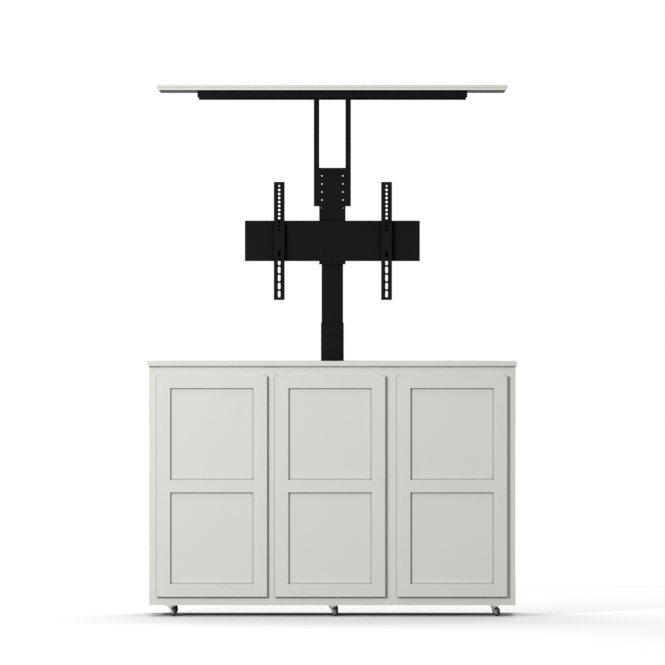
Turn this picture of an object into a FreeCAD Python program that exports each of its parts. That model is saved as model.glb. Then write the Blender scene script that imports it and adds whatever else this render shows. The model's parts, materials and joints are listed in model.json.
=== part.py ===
import FreeCAD, Part
import math
import os

# A television lift cabinet: a low cabinet on six casters, whose lid rises on a telescopic
# column together with the carrier that a flat television is bolted to.
# Millimetres. +Z is up, the front faces -Y, +X is to the right when seen from the front.
# The origin lies on the floor, at the centre of the worktop. The lift is drawn raised.

# ---- cabinet ----
BODY_WIDTH = 1355.0
WORKTOP_DEPTH = 450.0
WORKTOP_THICKNESS = 20.0
WORKTOP_TOP_Z = 945.0
WORKTOP_SIDE_OVERHANG = 5.0
WORKTOP_FRONT_OVERHANG = 22.0
WORKTOP_REAR_OVERHANG = 5.0
WORKTOP_BEVEL = 3.0
PANEL_THICKNESS = 18.0
FACE_FRAME_THICKNESS = 20.0
BACK_THICKNESS = 8.0
REAR_RAIL_HEIGHT = 60.0
BOARD_EDGE_ROUND = 1.5
CABLE_NOTCH_WIDTH = 80.0
CABLE_NOTCH_HEIGHT = 40.0

# ---- doors: three leaves over the face frame ----
LEFT_STILE_REVEAL = 28.0
FIRST_MID_REVEAL = 29.0
SECOND_MID_REVEAL = 43.0
RIGHT_STILE_REVEAL = 31.0
TOP_RAIL_REVEAL = 35.5
BOTTOM_RAIL_REVEAL = 31.5
DOOR_OVERLAP = 13.0
DOOR_STANDOFF = 2.0
DOOR_STILE = 50.5
DOOR_TOP_RAIL = 45.0
DOOR_MID_RAIL = 47.0
DOOR_BOTTOM_RAIL = 47.0
DOOR_RECESS = 12.0
DOOR_PANEL_THICKNESS = 6.0
DOOR_REBATE = 8.0
DOOR_PANEL_CLEARANCE = 0.5
DOOR_EDGE_ROUND = 1.0
RECESS_EDGE_ROUND = 1.2

# ---- door hinges and catches ----
HINGE_PIN_RADIUS = 2.0
HINGE_PIN_LENGTH = 24.0
HINGE_INSET = 5.0
HINGE_PIN_OUT = 12.0
HINGE_FROM_END = 90.0
HINGE_LEAF_HEIGHT = 50.0
HINGE_LEAF_THICKNESS = 1.5
HINGE_RETURN_DEPTH = 18.0
HINGE_EAR_THICKNESS = 3.0
HINGE_EYE_RADIUS = 4.2
HINGE_SLOT_CLEARANCE = 1.0
HINGE_SLOT_PLAY = 0.4
PIN_RUNNING_CLEARANCE = 0.05
STRIKE_WIDTH = 14.0
STRIKE_HEIGHT = 30.0
STRIKE_THICKNESS = 1.2
CATCH_GAP = 0.3
CATCH_WIDTH = 15.0
CATCH_HEIGHT = 40.0
CATCH_DEPTH = 22.0

# ---- lift: travel and column ----
LID_TRAVEL = 1000.0
STAGE_TRAVEL = 450.0
COLUMN_Y = 75.0
STAGE_1_WIDTH = 90.0
STAGE_1_DEPTH = 65.0
STAGE_WALL = 2.2
STAGE_GAP = 0.3
STAGE_1_CORNER = 10.0
STAGE_1_TOP_Z = 631.0
STAGE_4_WIDTH = 70.0
STAGE_4_DEPTH = 45.0
STAGE_4_WALL = 2.5
STAGE_4_CORNER = 4.0
STAGE_4_ABOVE = 19.0
STAGE_FOOT_STEP = 3.0
COLLAR_HEIGHT = 6.0
BASE_PLATE_WIDTH = 300.0
BASE_PLATE_DEPTH = 160.0
BASE_PLATE_THICKNESS = 6.0
BASE_BOLT_RADIUS = 4.0
BASE_BOLT_EDGE = 20.0
BASE_BOLT_HEAD_RADIUS = 7.0
BASE_BOLT_HEAD_HEIGHT = 5.0
BASE_BOLT_BITE = 14.0

# ---- lift: drive ----
SCREW_RADIUS = 7.0
SCREW_BELOW_TOP = 11.0
SCREW_SEAT = 4.0
BEARING_HEIGHT = 20.0
BEARING_TO_NUT = 4.0
NUT_HEIGHT = 22.0
GEARBOX_LENGTH = 60.0
GEARBOX_DEPTH = 50.0
GEARBOX_HEIGHT = 62.0
GEARBOX_ROUND = 4.0
MOTOR_RADIUS = 26.0
MOTOR_LENGTH = 130.0
MOTOR_CAP_RADIUS = 20.0
MOTOR_CAP_LENGTH = 8.0
CONTROL_BOX_X = 170.0
CONTROL_BOX_WIDTH = 140.0
CONTROL_BOX_DEPTH = 80.0
CONTROL_BOX_HEIGHT = 40.0
CONTROL_BOX_FROM_BACK = 42.0
CONTROL_BOX_ROUND = 2.0
INLET_WIDTH = 28.0
INLET_HEIGHT = 20.0
INLET_DEPTH = 14.0
INLET_WALL = 2.0
INLET_FLOOR = 3.0
INLET_PIN_WIDTH = 2.0
INLET_PIN_HEIGHT = 6.0
INLET_PIN_SPACING = 7.0

# ---- lift: cable from the gearbox to the control box ----
CABLE_RADIUS = 3.0
CABLE_EXIT_HEIGHT = 24.0
CABLE_ENTRY_HEIGHT = 17.0
CABLE_ENTRY_FROM_BACK = 26.0
CABLE_LIFT = 0.5
CABLE_BEND_SHARE = 0.45

# ---- lift: carriage and television carrier ----
CARRIAGE_WIDTH = 98.0
CARRIAGE_WALL = 2.0
CARRIAGE_WEB = 3.0
CARRIAGE_LENGTH = 360.0
CARRIAGE_HEAD = 14.5
CARRIAGE_FRONT_CLEARANCE = 2.5
CARRIAGE_DEPTH = 72.0
CARRIAGE_CAP = 4.0
CARRIAGE_HOLE_RADIUS = 2.4
CARRIAGE_HOLE_INSET = 10.0
CARRIAGE_HOLE_PITCH = 30.0
CARRIAGE_HOLE_ROWS = 5
PLATE_WIDTH = 652.0
PLATE_HEIGHT = 151.0
PLATE_THICKNESS = 3.0
PLATE_ABOVE_CARRIAGE_FOOT = 12.0
PLATE_LIP_HEIGHT = 20.0
PLATE_LIP_THICKNESS = 3.0
LIP_NOTCH_CLEARANCE = 0.3
STRIP_SPACING = 400.0
STRIP_SHIFT = 2.0
STRIP_WIDTH = 40.0
STRIP_HEIGHT = 440.0
STRIP_DEPTH = 25.0
STRIP_WALL = 2.0
STRIP_ABOVE_PLATE = 144.0
STRIP_HOLE_RADIUS = 4.5
STRIP_TOP_HOLE_RADIUS = 3.5
STRIP_HOLE_PITCH = 15.0
STRIP_HOLES = 12
STRIP_SLOT_WIDTH = 9.5
STRIP_SLOT_LENGTH = 24.0
STRIP_SLOT_FIRST = 268.0
STRIP_SLOT_PITCH = 30.0
STRIP_SLOTS = 6

# ---- lift: uprights, tray and lid ----
UPRIGHT_WIDTH = 20.0
UPRIGHT_DEPTH = 40.0
UPRIGHT_WALL = 3.0
UPRIGHT_LAP = 143.5
UPRIGHT_FOOT_WIDTH = 60.0
UPRIGHT_FOOT_DEPTH = 70.0
UPRIGHT_FOOT_THICKNESS = 3.0
TRAY_WIDTH = 1000.0
TRAY_INSET = 35.0
TRAY_HEIGHT = 27.0
TRAY_SHEET = 1.5
LID_SIDE_MARGIN = 29.5
LID_FRONT_MARGIN = 35.0
LID_LAP = 25.0
LID_THICKNESS = 19.0
LID_TOP_LAYER = 10.5
LID_STEP = 2.0
LID_END_BEVEL = 5.5
LID_FRONT_BEVEL = 3.0
LID_REST_GAP = 3.0
LID_PAD_CLEARANCE = 0.3
LID_PAD_RADIUS = 5.0
LID_PAD_INSET = 198.0
WELL_CORNER = 12.0

# ---- bolts and screws of the lift ----
BOLT_RADIUS = 3.0
BOLT_HEAD_RADIUS = 5.5
BOLT_HEAD_HEIGHT = 3.5
PLATE_BOLT_X = 26.0
PLATE_BOLT_Z = 45.0
UPRIGHT_BOLTS = 3
UPRIGHT_BOLT_PITCH = 50.0
UPRIGHT_BOLT_BACK = 24.0
FOOT_BOLT_INSET = 12.0
LID_SCREW_RADIUS = 2.0
LID_SCREW_HEAD_RADIUS = 4.0
LID_SCREW_HEAD_HEIGHT = 2.2
LID_SCREW_BITE = 14.0
LID_SCREW_INSET_X = 40.0
LID_SCREW_INSET_Y = 30.0

# ---- casters ----
CASTER_HEIGHT = 42.0
CASTER_FROM_SIDE = 78.5
CASTER_FROM_FRONT = 55.0
CASTER_PLATE = 40.0
CASTER_PLATE_THICKNESS = 2.0
CASTER_RACE_RADIUS = 13.0
CASTER_RACE_HEIGHT = 3.5
CASTER_PLAY = 0.3
CASTER_KINGPIN_RADIUS = 3.0
CASTER_KINGPIN_HEAD_RADIUS = 5.0
CASTER_KINGPIN_HEAD_HEIGHT = 2.6
CASTER_CROWN_THICKNESS = 2.3
CASTER_CROWN_RADIUS = 12.0
CASTER_CROWN_BACK = 9.0
CASTER_WHEEL_RADIUS = 16.5
CASTER_WHEEL_WIDTH = 11.0
CASTER_HUB_RADIUS = 10.0
CASTER_HUB_PROUD = 0.3
CASTER_TYRE_ROUND = 2.0
CASTER_TRAIL = 19.0
CASTER_ARM_THICKNESS = 1.5
CASTER_ARM_GAP = 0.5
CASTER_ARM_EYE = 5.0
CASTER_ARM_NOSE = 10.0
CASTER_ARM_RISE = 1.0
CASTER_ARM_SKIRT = 2.0
CASTER_AXLE_RADIUS = 2.0
CASTER_AXLE_PROUD = 0.8
CASTER_SCREW_OFFSET = 15.0
CASTER_SCREW_RADIUS = 1.8
CASTER_SCREW_HEAD_RADIUS = 3.2
CASTER_SCREW_HEAD_HEIGHT = 1.2
CASTER_SCREW_BITE = 12.0
CASTER_ANGLE = -58.0

# ---- places worked out from the sizes above ----
BODY_LEFT = -BODY_WIDTH / 2
BODY_RIGHT = BODY_WIDTH / 2
WORKTOP_FRONT_Y = -WORKTOP_DEPTH / 2
FRAME_FRONT_Y = WORKTOP_FRONT_Y + WORKTOP_FRONT_OVERHANG
FRAME_BACK_Y = FRAME_FRONT_Y + FACE_FRAME_THICKNESS
BODY_BACK_Y = WORKTOP_DEPTH / 2 - WORKTOP_REAR_OVERHANG
BACK_PANEL_Y = BODY_BACK_Y - BACK_THICKNESS
BODY_BOTTOM_Z = CASTER_HEIGHT
WORKTOP_UNDER_Z = WORKTOP_TOP_Z - WORKTOP_THICKNESS
FLOOR_BOARD_TOP_Z = BODY_BOTTOM_Z + PANEL_THICKNESS
INSIDE_LEFT = BODY_LEFT + PANEL_THICKNESS
INSIDE_RIGHT = BODY_RIGHT - PANEL_THICKNESS

REVEALS = LEFT_STILE_REVEAL + FIRST_MID_REVEAL + SECOND_MID_REVEAL + RIGHT_STILE_REVEAL
DOOR_WIDTH = (BODY_WIDTH - REVEALS) / 3
DOOR_THICKNESS = DOOR_RECESS + DOOR_PANEL_THICKNESS
DOOR_BACK_Y = FRAME_FRONT_Y - DOOR_STANDOFF
DOOR_FRONT_Y = DOOR_BACK_Y - DOOR_THICKNESS
DOOR_BOTTOM_Z = BODY_BOTTOM_Z + BOTTOM_RAIL_REVEAL
DOOR_TOP_Z = WORKTOP_UNDER_Z - TOP_RAIL_REVEAL
DOOR_PANEL_HEIGHT = (
    DOOR_TOP_Z - DOOR_BOTTOM_Z - DOOR_TOP_RAIL - DOOR_MID_RAIL - DOOR_BOTTOM_RAIL
) / 2
LEFT_DOOR_X = BODY_LEFT + LEFT_STILE_REVEAL
CENTRE_DOOR_X = LEFT_DOOR_X + DOOR_WIDTH + FIRST_MID_REVEAL
RIGHT_DOOR_X = CENTRE_DOOR_X + DOOR_WIDTH + SECOND_MID_REVEAL
# name, x of the leaf's left edge, side of its hinges: -1 left, +1 right
DOORS = [
    ("left", LEFT_DOOR_X, -1),
    ("centre", CENTRE_DOOR_X, 1),
    ("right", RIGHT_DOOR_X, 1),
]
HINGE_Y = FRAME_FRONT_Y - HINGE_PIN_OUT
HINGE_HEIGHTS = [DOOR_BOTTOM_Z + HINGE_FROM_END, DOOR_TOP_Z - HINGE_FROM_END]
CATCH_Z = (DOOR_BOTTOM_Z + DOOR_TOP_Z) / 2

STAGE_STEP = 2 * (STAGE_WALL + STAGE_GAP)
STAGE_2_WIDTH = STAGE_1_WIDTH - STAGE_STEP
STAGE_2_DEPTH = STAGE_1_DEPTH - STAGE_STEP
STAGE_3_WIDTH = STAGE_2_WIDTH - STAGE_STEP
STAGE_3_DEPTH = STAGE_2_DEPTH - STAGE_STEP
STAGE_2_CORNER = STAGE_1_CORNER - STAGE_STEP / 2
STAGE_3_CORNER = STAGE_2_CORNER - STAGE_STEP / 2
BASE_PLATE_TOP_Z = FLOOR_BOARD_TOP_Z + BASE_PLATE_THICKNESS
BEARING_TOP_Z = BASE_PLATE_TOP_Z + BEARING_HEIGHT
STAGE_2_FOOT_Z = BEARING_TOP_Z + BEARING_TO_NUT + STAGE_TRAVEL
STAGE_2_TOP_Z = STAGE_1_TOP_Z + STAGE_TRAVEL
NUT_TOP_Z = STAGE_2_FOOT_Z + NUT_HEIGHT
STAGE_3_FOOT_Z = NUT_TOP_Z + STAGE_FOOT_STEP + STAGE_TRAVEL
STAGE_3_TOP_Z = STAGE_2_TOP_Z + STAGE_TRAVEL
STAGE_4_FOOT_Z = STAGE_3_FOOT_Z + STAGE_FOOT_STEP + LID_TRAVEL - 2 * STAGE_TRAVEL
STAGE_4_TOP_Z = STAGE_1_TOP_Z + STAGE_4_ABOVE + LID_TRAVEL

CARRIAGE_TOP_Z = STAGE_4_TOP_Z + CARRIAGE_HEAD
CARRIAGE_FOOT_Z = CARRIAGE_TOP_Z - CARRIAGE_LENGTH
CARRIAGE_BACK_Y = COLUMN_Y - STAGE_1_DEPTH / 2 - CARRIAGE_FRONT_CLEARANCE
CARRIAGE_FRONT_Y = CARRIAGE_BACK_Y - CARRIAGE_WEB
CARRIAGE_HALF = CARRIAGE_WIDTH / 2
PLATE_FOOT_Z = CARRIAGE_FOOT_Z + PLATE_ABOVE_CARRIAGE_FOOT
PLATE_TOP_Z = PLATE_FOOT_Z + PLATE_HEIGHT
PLATE_FRONT_Y = CARRIAGE_FRONT_Y - PLATE_THICKNESS
STRIP_TOP_Z = PLATE_TOP_Z + STRIP_ABOVE_PLATE
STRIP_FRONT_Y = PLATE_FRONT_Y - STRIP_DEPTH

LID_UNDER_Z = WORKTOP_TOP_Z + LID_REST_GAP + LID_TRAVEL
TRAY_UNDER_Z = LID_UNDER_Z - TRAY_HEIGHT
TRAY_SHEET_Z = LID_UNDER_Z - TRAY_SHEET
UPRIGHT_FOOT_Z = TRAY_SHEET_Z - UPRIGHT_FOOT_THICKNESS
UPRIGHT_END_Z = CARRIAGE_TOP_Z - UPRIGHT_LAP
LID_WIDTH = BODY_WIDTH - 2 * LID_SIDE_MARGIN
LID_DEPTH = WORKTOP_DEPTH - 2 * LID_FRONT_MARGIN
WELL_WIDTH = LID_WIDTH - 2 * LID_LAP
WELL_DEPTH = LID_DEPTH - 2 * LID_LAP
TRAY_DEPTH = LID_DEPTH - 2 * TRAY_INSET
LID_PAD_X = LID_WIDTH / 2 - LID_PAD_INSET
LID_PAD_Y = (WELL_DEPTH + LID_DEPTH) / 4
GEARBOX_FLANK_X = -STAGE_1_WIDTH / 2
CONTROL_BOX_BACK_Y = BACK_PANEL_Y - CONTROL_BOX_FROM_BACK
CABLE_NOTCH_X = CONTROL_BOX_X + CONTROL_BOX_WIDTH / 2

CASTER_X = BODY_WIDTH / 2 - CASTER_FROM_SIDE
CASTER_ROWS_Y = [FRAME_FRONT_Y + CASTER_FROM_FRONT, BODY_BACK_Y - CASTER_FROM_FRONT]
CASTER_PLACES = [(x, y) for y in CASTER_ROWS_Y for x in (-CASTER_X, 0.0, CASTER_X)]
CASTER_PLATE_Z = CASTER_HEIGHT - CASTER_PLATE_THICKNESS
CASTER_RACE_Z = CASTER_PLATE_Z - CASTER_RACE_HEIGHT
CASTER_CROWN_TOP_Z = CASTER_RACE_Z - CASTER_PLAY
CASTER_CROWN_Z = CASTER_CROWN_TOP_Z - CASTER_CROWN_THICKNESS
CASTER_ARM_IN = CASTER_WHEEL_WIDTH / 2 + CASTER_HUB_PROUD + CASTER_ARM_GAP
CASTER_ARM_OUT = CASTER_ARM_IN + CASTER_ARM_THICKNESS


# ---- helpers ----
def box(x0, x1, y0, y1, z0, z1):
    return Part.makeBox(x1 - x0, y1 - y0, z1 - z0, FreeCAD.Vector(x0, y0, z0))


def rod_x(radius, x0, x1, y, z):
    start = FreeCAD.Vector(x0, y, z)
    return Part.makeCylinder(radius, x1 - x0, start, FreeCAD.Vector(1, 0, 0))


def rod_y(radius, x, y0, y1, z):
    start = FreeCAD.Vector(x, y0, z)
    return Part.makeCylinder(radius, y1 - y0, start, FreeCAD.Vector(0, 1, 0))


def rod_z(radius, x, y, z0, z1):
    return Part.makeCylinder(radius, z1 - z0, FreeCAD.Vector(x, y, z0))


def fused(shapes):
    whole = shapes[0]
    for shape in shapes[1:]:
        whole = whole.fuse(shape)
    return whole.removeSplitter()


def without(shape, tools):
    for tool in tools:
        shape = shape.cut(tool)
    return shape


def group(shapes):
    return Part.makeCompound(shapes)


def mirrored_x(shape):
    return shape.mirror(FreeCAD.Vector(0, 0, 0), FreeCAD.Vector(1, 0, 0))


def vertical(edge):
    ends = edge.Vertexes
    if len(ends) != 2:
        return False
    across = math.hypot(ends[0].X - ends[1].X, ends[0].Y - ends[1].Y)
    return across < 1e-6 and abs(ends[0].Z - ends[1].Z) > 1e-6


def round_vertical(shape, radius):
    return shape.makeFillet(radius, [e for e in shape.Edges if vertical(e)])


def edges_in_plane(shape, axis, value):
    def lies_in(edge):
        limits = edge.BoundBox
        low = getattr(limits, axis + "Min")
        high = getattr(limits, axis + "Max")
        return abs(low - value) < 1e-6 and abs(high - value) < 1e-6

    return [edge for edge in shape.Edges if lies_in(edge)]


def rounded_block(width, depth, y, z0, z1, corner):
    block = box(-width / 2, width / 2, y - depth / 2, y + depth / 2, z0, z1)
    return round_vertical(block, corner)


def tube(width, depth, wall, corner, z0, z1):
    outer = rounded_block(width, depth, COLUMN_Y, z0, z1, corner)
    bore = rounded_block(
        width - 2 * wall, depth - 2 * wall, COLUMN_Y, z0, z1, corner - wall
    )
    return outer.cut(bore)


def save(name, shape):
    shape.exportStep("parts/" + name + ".step")


# ---- carcass ----
def side_panel(x0):
    return box(
        x0, x0 + PANEL_THICKNESS, FRAME_BACK_Y, BODY_BACK_Y, BODY_BOTTOM_Z, WORKTOP_UNDER_Z
    )


def bottom_board():
    board = box(
        INSIDE_LEFT, INSIDE_RIGHT, FRAME_BACK_Y, BODY_BACK_Y, BODY_BOTTOM_Z, FLOOR_BOARD_TOP_Z
    )
    pilot_holes = [
        rod_z(BASE_BOLT_RADIUS, x, y, FLOOR_BOARD_TOP_Z - BASE_BOLT_BITE, FLOOR_BOARD_TOP_Z)
        for x, y in base_bolt_places()
    ]
    pilot_holes += [
        rod_z(CASTER_SCREW_RADIUS, x, y, BODY_BOTTOM_Z, BODY_BOTTOM_Z + CASTER_SCREW_BITE)
        for x, y in caster_screw_places()
    ]
    return without(board, pilot_holes)


def worktop():
    half = BODY_WIDTH / 2 + WORKTOP_SIDE_OVERHANG
    back = WORKTOP_DEPTH / 2
    slab = box(-half, half, WORKTOP_FRONT_Y, back, WORKTOP_UNDER_Z, WORKTOP_TOP_Z)
    slab = slab.makeFillet(BOARD_EDGE_ROUND, edges_in_plane(slab, "Z", WORKTOP_TOP_Z))
    slab = slab.makeChamfer(WORKTOP_BEVEL, edges_in_plane(slab, "Z", WORKTOP_UNDER_Z))
    well = rounded_block(
        WELL_WIDTH, WELL_DEPTH, 0, WORKTOP_UNDER_Z, WORKTOP_TOP_Z, WELL_CORNER
    )
    return slab.cut(well)


def back_panel():
    panel = box(
        INSIDE_LEFT, INSIDE_RIGHT, BACK_PANEL_Y, BODY_BACK_Y, FLOOR_BOARD_TOP_Z, WORKTOP_UNDER_Z
    )
    half = CABLE_NOTCH_WIDTH / 2
    notch = box(
        CABLE_NOTCH_X - half, CABLE_NOTCH_X + half, BACK_PANEL_Y, BODY_BACK_Y,
        FLOOR_BOARD_TOP_Z, FLOOR_BOARD_TOP_Z + CABLE_NOTCH_HEIGHT,
    )
    return panel.cut(notch)


def rear_rail():
    return box(
        INSIDE_LEFT, INSIDE_RIGHT, BACK_PANEL_Y - PANEL_THICKNESS, BACK_PANEL_Y,
        WORKTOP_UNDER_Z - REAR_RAIL_HEIGHT, WORKTOP_UNDER_Z,
    )


def stile_spans():
    spans = []
    start = BODY_LEFT
    for _, x0, _ in DOORS:
        spans.append((start, x0 + DOOR_OVERLAP))
        start = x0 + DOOR_WIDTH - DOOR_OVERLAP
    spans.append((start, BODY_RIGHT))
    return spans


def face_frame_stiles():
    stiles = []
    for x0, x1 in stile_spans():
        stiles.append(
            box(x0, x1, FRAME_FRONT_Y, FRAME_BACK_Y, BODY_BOTTOM_Z, WORKTOP_UNDER_Z)
        )
    mortises = [hinge_leaf_front(*place) for place in hinge_places()]
    return group([without(stile, mortises) for stile in stiles])


def face_frame_rails():
    spans = stile_spans()
    rails = []
    for left, right in zip(spans[:-1], spans[1:]):
        x0, x1 = left[1], right[0]
        low_top = DOOR_BOTTOM_Z + DOOR_OVERLAP
        high_foot = DOOR_TOP_Z - DOOR_OVERLAP
        rails.append(box(x0, x1, FRAME_FRONT_Y, FRAME_BACK_Y, BODY_BOTTOM_Z, low_top))
        rails.append(box(x0, x1, FRAME_FRONT_Y, FRAME_BACK_Y, high_foot, WORKTOP_UNDER_Z))
    return group(rails)


# ---- doors ----
def door_panel_heights():
    low = DOOR_BOTTOM_Z + DOOR_BOTTOM_RAIL
    high = low + DOOR_PANEL_HEIGHT + DOOR_MID_RAIL
    return [low, high]


def hinge_x(x0, side):
    if side < 0:
        return x0 + HINGE_INSET
    return x0 + DOOR_WIDTH - HINGE_INSET


def door_frame(x0, side):
    x1 = x0 + DOOR_WIDTH
    leaf = box(x0, x1, DOOR_FRONT_Y, DOOR_BACK_Y, DOOR_BOTTOM_Z, DOOR_TOP_Z)
    leaf = leaf.makeFillet(DOOR_EDGE_ROUND, edges_in_plane(leaf, "Y", DOOR_FRONT_Y))
    floor_y = DOOR_FRONT_Y + DOOR_RECESS
    for z0 in door_panel_heights():
        z1 = z0 + DOOR_PANEL_HEIGHT
        window = box(x0 + DOOR_STILE, x1 - DOOR_STILE, DOOR_FRONT_Y, DOOR_BACK_Y, z0, z1)
        rebate = box(
            x0 + DOOR_STILE - DOOR_REBATE, x1 - DOOR_STILE + DOOR_REBATE,
            floor_y, DOOR_BACK_Y, z0 - DOOR_REBATE, z1 + DOOR_REBATE,
        )
        leaf = leaf.cut(window).cut(rebate)
    inner = [
        edge for edge in edges_in_plane(leaf, "Y", DOOR_FRONT_Y)
        if edge.BoundBox.XMin > x0 + DOOR_STILE / 2
        and edge.BoundBox.XMax < x1 - DOOR_STILE / 2
        and edge.BoundBox.ZMin > DOOR_BOTTOM_Z + DOOR_BOTTOM_RAIL / 2
        and edge.BoundBox.ZMax < DOOR_TOP_Z - DOOR_TOP_RAIL / 2
    ]
    leaf = leaf.makeFillet(RECESS_EDGE_ROUND, inner)
    for z in HINGE_HEIGHTS:
        leaf = without(leaf, [hinge_slot(x0, side, z), hinge_pin(x0, side, z)])
    return leaf


def hinge_slot(x0, side, z):
    reach = HINGE_EYE_RADIUS + HINGE_SLOT_CLEARANCE
    half = HINGE_EAR_THICKNESS / 2 + HINGE_SLOT_PLAY
    x = hinge_x(x0, side)
    outer = x + side * HINGE_INSET
    inner = x - side * reach
    return box(
        min(outer, inner), max(outer, inner), HINGE_Y - reach, DOOR_BACK_Y, z - half, z + half
    )


def hinge_pin(x0, side, z):
    half = HINGE_PIN_LENGTH / 2
    return rod_z(HINGE_PIN_RADIUS, hinge_x(x0, side), HINGE_Y, z - half, z + half)


def door_panels(x0):
    inset = DOOR_STILE - DOOR_REBATE + DOOR_PANEL_CLEARANCE
    spare = DOOR_REBATE - DOOR_PANEL_CLEARANCE
    panels = []
    for z0 in door_panel_heights():
        panels.append(
            box(
                x0 + inset, x0 + DOOR_WIDTH - inset, DOOR_FRONT_Y + DOOR_RECESS, DOOR_BACK_Y,
                z0 - spare, z0 + DOOR_PANEL_HEIGHT + spare,
            )
        )
    return group(panels)


def catch_span(x0, side, width):
    if side < 0:
        end = x0 + DOOR_WIDTH - DOOR_OVERLAP
        return end - width, end
    start = x0 + DOOR_OVERLAP
    return start, start + width


def door_hardware(x0, side):
    pins = [hinge_pin(x0, side, z) for z in HINGE_HEIGHTS]
    start, end = catch_span(x0, side, STRIKE_WIDTH)
    half = STRIKE_HEIGHT / 2
    strike = box(
        start, end, DOOR_BACK_Y, DOOR_BACK_Y + STRIKE_THICKNESS, CATCH_Z - half, CATCH_Z + half
    )
    return group(pins + [strike])


def hinge_places():
    return [(x0, side, z) for _, x0, side in DOORS for z in HINGE_HEIGHTS]


def hinge_leaf_front(x0, side, z):
    edge = x0 if side < 0 else x0 + DOOR_WIDTH
    stile_end = edge - side * DOOR_OVERLAP
    half = HINGE_LEAF_HEIGHT / 2
    return box(
        min(edge, stile_end), max(edge, stile_end),
        FRAME_FRONT_Y, FRAME_FRONT_Y + HINGE_LEAF_THICKNESS, z - half, z + half,
    )


def hinge_leaf(x0, side, z):
    edge = x0 if side < 0 else x0 + DOOR_WIDTH
    stile_end = edge - side * DOOR_OVERLAP
    inner = stile_end - side * HINGE_LEAF_THICKNESS
    half = HINGE_LEAF_HEIGHT / 2
    back = FRAME_FRONT_Y + HINGE_RETURN_DEPTH
    leaf_return = box(
        min(stile_end, inner), max(stile_end, inner), FRAME_FRONT_Y, back, z - half, z + half
    )
    x = hinge_x(x0, side)
    low = z - HINGE_EAR_THICKNESS / 2
    high = z + HINGE_EAR_THICKNESS / 2
    ear_back = FRAME_FRONT_Y + HINGE_LEAF_THICKNESS
    ear = box(x - HINGE_EYE_RADIUS, x + HINGE_EYE_RADIUS, HINGE_Y, ear_back, low, high)
    eye = rod_z(HINGE_EYE_RADIUS, x, HINGE_Y, low, high)
    bore = rod_z(HINGE_PIN_RADIUS + PIN_RUNNING_CLEARANCE, x, HINGE_Y, low, high)
    return fused([hinge_leaf_front(x0, side, z), leaf_return, ear, eye]).cut(bore)


def magnet_catches():
    catches = []
    front = DOOR_BACK_Y + STRIKE_THICKNESS + CATCH_GAP
    half = CATCH_HEIGHT / 2
    for _, x0, side in DOORS:
        start, end = catch_span(x0, side, CATCH_WIDTH)
        catches.append(
            box(start, end, front, front + CATCH_DEPTH, CATCH_Z - half, CATCH_Z + half)
        )
    return group(catches)


# ---- lift column and drive ----
def base_bolt_places():
    dx = BASE_PLATE_WIDTH / 2 - BASE_BOLT_EDGE
    dy = BASE_PLATE_DEPTH / 2 - BASE_BOLT_EDGE
    return [(sx * dx, COLUMN_Y + sy * dy) for sx in (-1, 1) for sy in (-1, 1)]


def lift_base_plate():
    half = BASE_PLATE_WIDTH / 2
    plate = box(
        -half, half, COLUMN_Y - BASE_PLATE_DEPTH / 2, COLUMN_Y + BASE_PLATE_DEPTH / 2,
        FLOOR_BOARD_TOP_Z, BASE_PLATE_TOP_Z,
    )
    holes = [
        rod_z(BASE_BOLT_RADIUS, x, y, FLOOR_BOARD_TOP_Z, BASE_PLATE_TOP_Z)
        for x, y in base_bolt_places()
    ]
    return without(plate, holes)


def base_bolts():
    bolts = []
    for x, y in base_bolt_places():
        shank = rod_z(
            BASE_BOLT_RADIUS, x, y, FLOOR_BOARD_TOP_Z - BASE_BOLT_BITE, BASE_PLATE_TOP_Z
        )
        top = BASE_PLATE_TOP_Z + BASE_BOLT_HEAD_HEIGHT
        head = rod_z(BASE_BOLT_HEAD_RADIUS, x, y, BASE_PLATE_TOP_Z, top)
        bolts.append(fused([shank, head]))
    return group(bolts)


def column_stage_1():
    return tube(
        STAGE_1_WIDTH, STAGE_1_DEPTH, STAGE_WALL, STAGE_1_CORNER, BASE_PLATE_TOP_Z, STAGE_1_TOP_Z
    )


def column_stage_2():
    return tube(
        STAGE_2_WIDTH, STAGE_2_DEPTH, STAGE_WALL, STAGE_2_CORNER, STAGE_2_FOOT_Z, STAGE_2_TOP_Z
    )


def column_stage_3():
    return tube(
        STAGE_3_WIDTH, STAGE_3_DEPTH, STAGE_WALL, STAGE_3_CORNER, STAGE_3_FOOT_Z, STAGE_3_TOP_Z
    )


def column_stage_4():
    return tube(
        STAGE_4_WIDTH, STAGE_4_DEPTH, STAGE_4_WALL, STAGE_4_CORNER, STAGE_4_FOOT_Z, STAGE_4_TOP_Z
    )


def stage_collar(width, depth, corner, z0):
    # sits on the stage's end and guides the next stage at the same gap as the tube
    return tube(width, depth, STAGE_WALL, corner, z0, z0 + COLLAR_HEIGHT)


def stage_3_collar():
    outer = rounded_block(
        STAGE_3_WIDTH, STAGE_3_DEPTH, COLUMN_Y, STAGE_3_TOP_Z, STAGE_3_TOP_Z + COLLAR_HEIGHT,
        STAGE_3_CORNER,
    )
    bore = rounded_block(
        STAGE_4_WIDTH + 2 * STAGE_GAP, STAGE_4_DEPTH + 2 * STAGE_GAP, COLUMN_Y,
        STAGE_3_TOP_Z, STAGE_3_TOP_Z + COLLAR_HEIGHT, STAGE_4_CORNER + STAGE_GAP,
    )
    return outer.cut(bore)


def inner_block(width, depth, corner, z0, z1):
    # fills a stage's bore and leaves a running hole for the drive screw
    block = rounded_block(
        width - 2 * STAGE_WALL, depth - 2 * STAGE_WALL, COLUMN_Y, z0, z1, corner - STAGE_WALL
    )
    return block.cut(rod_z(SCREW_RADIUS + PIN_RUNNING_CLEARANCE, 0, COLUMN_Y, z0, z1))


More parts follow.
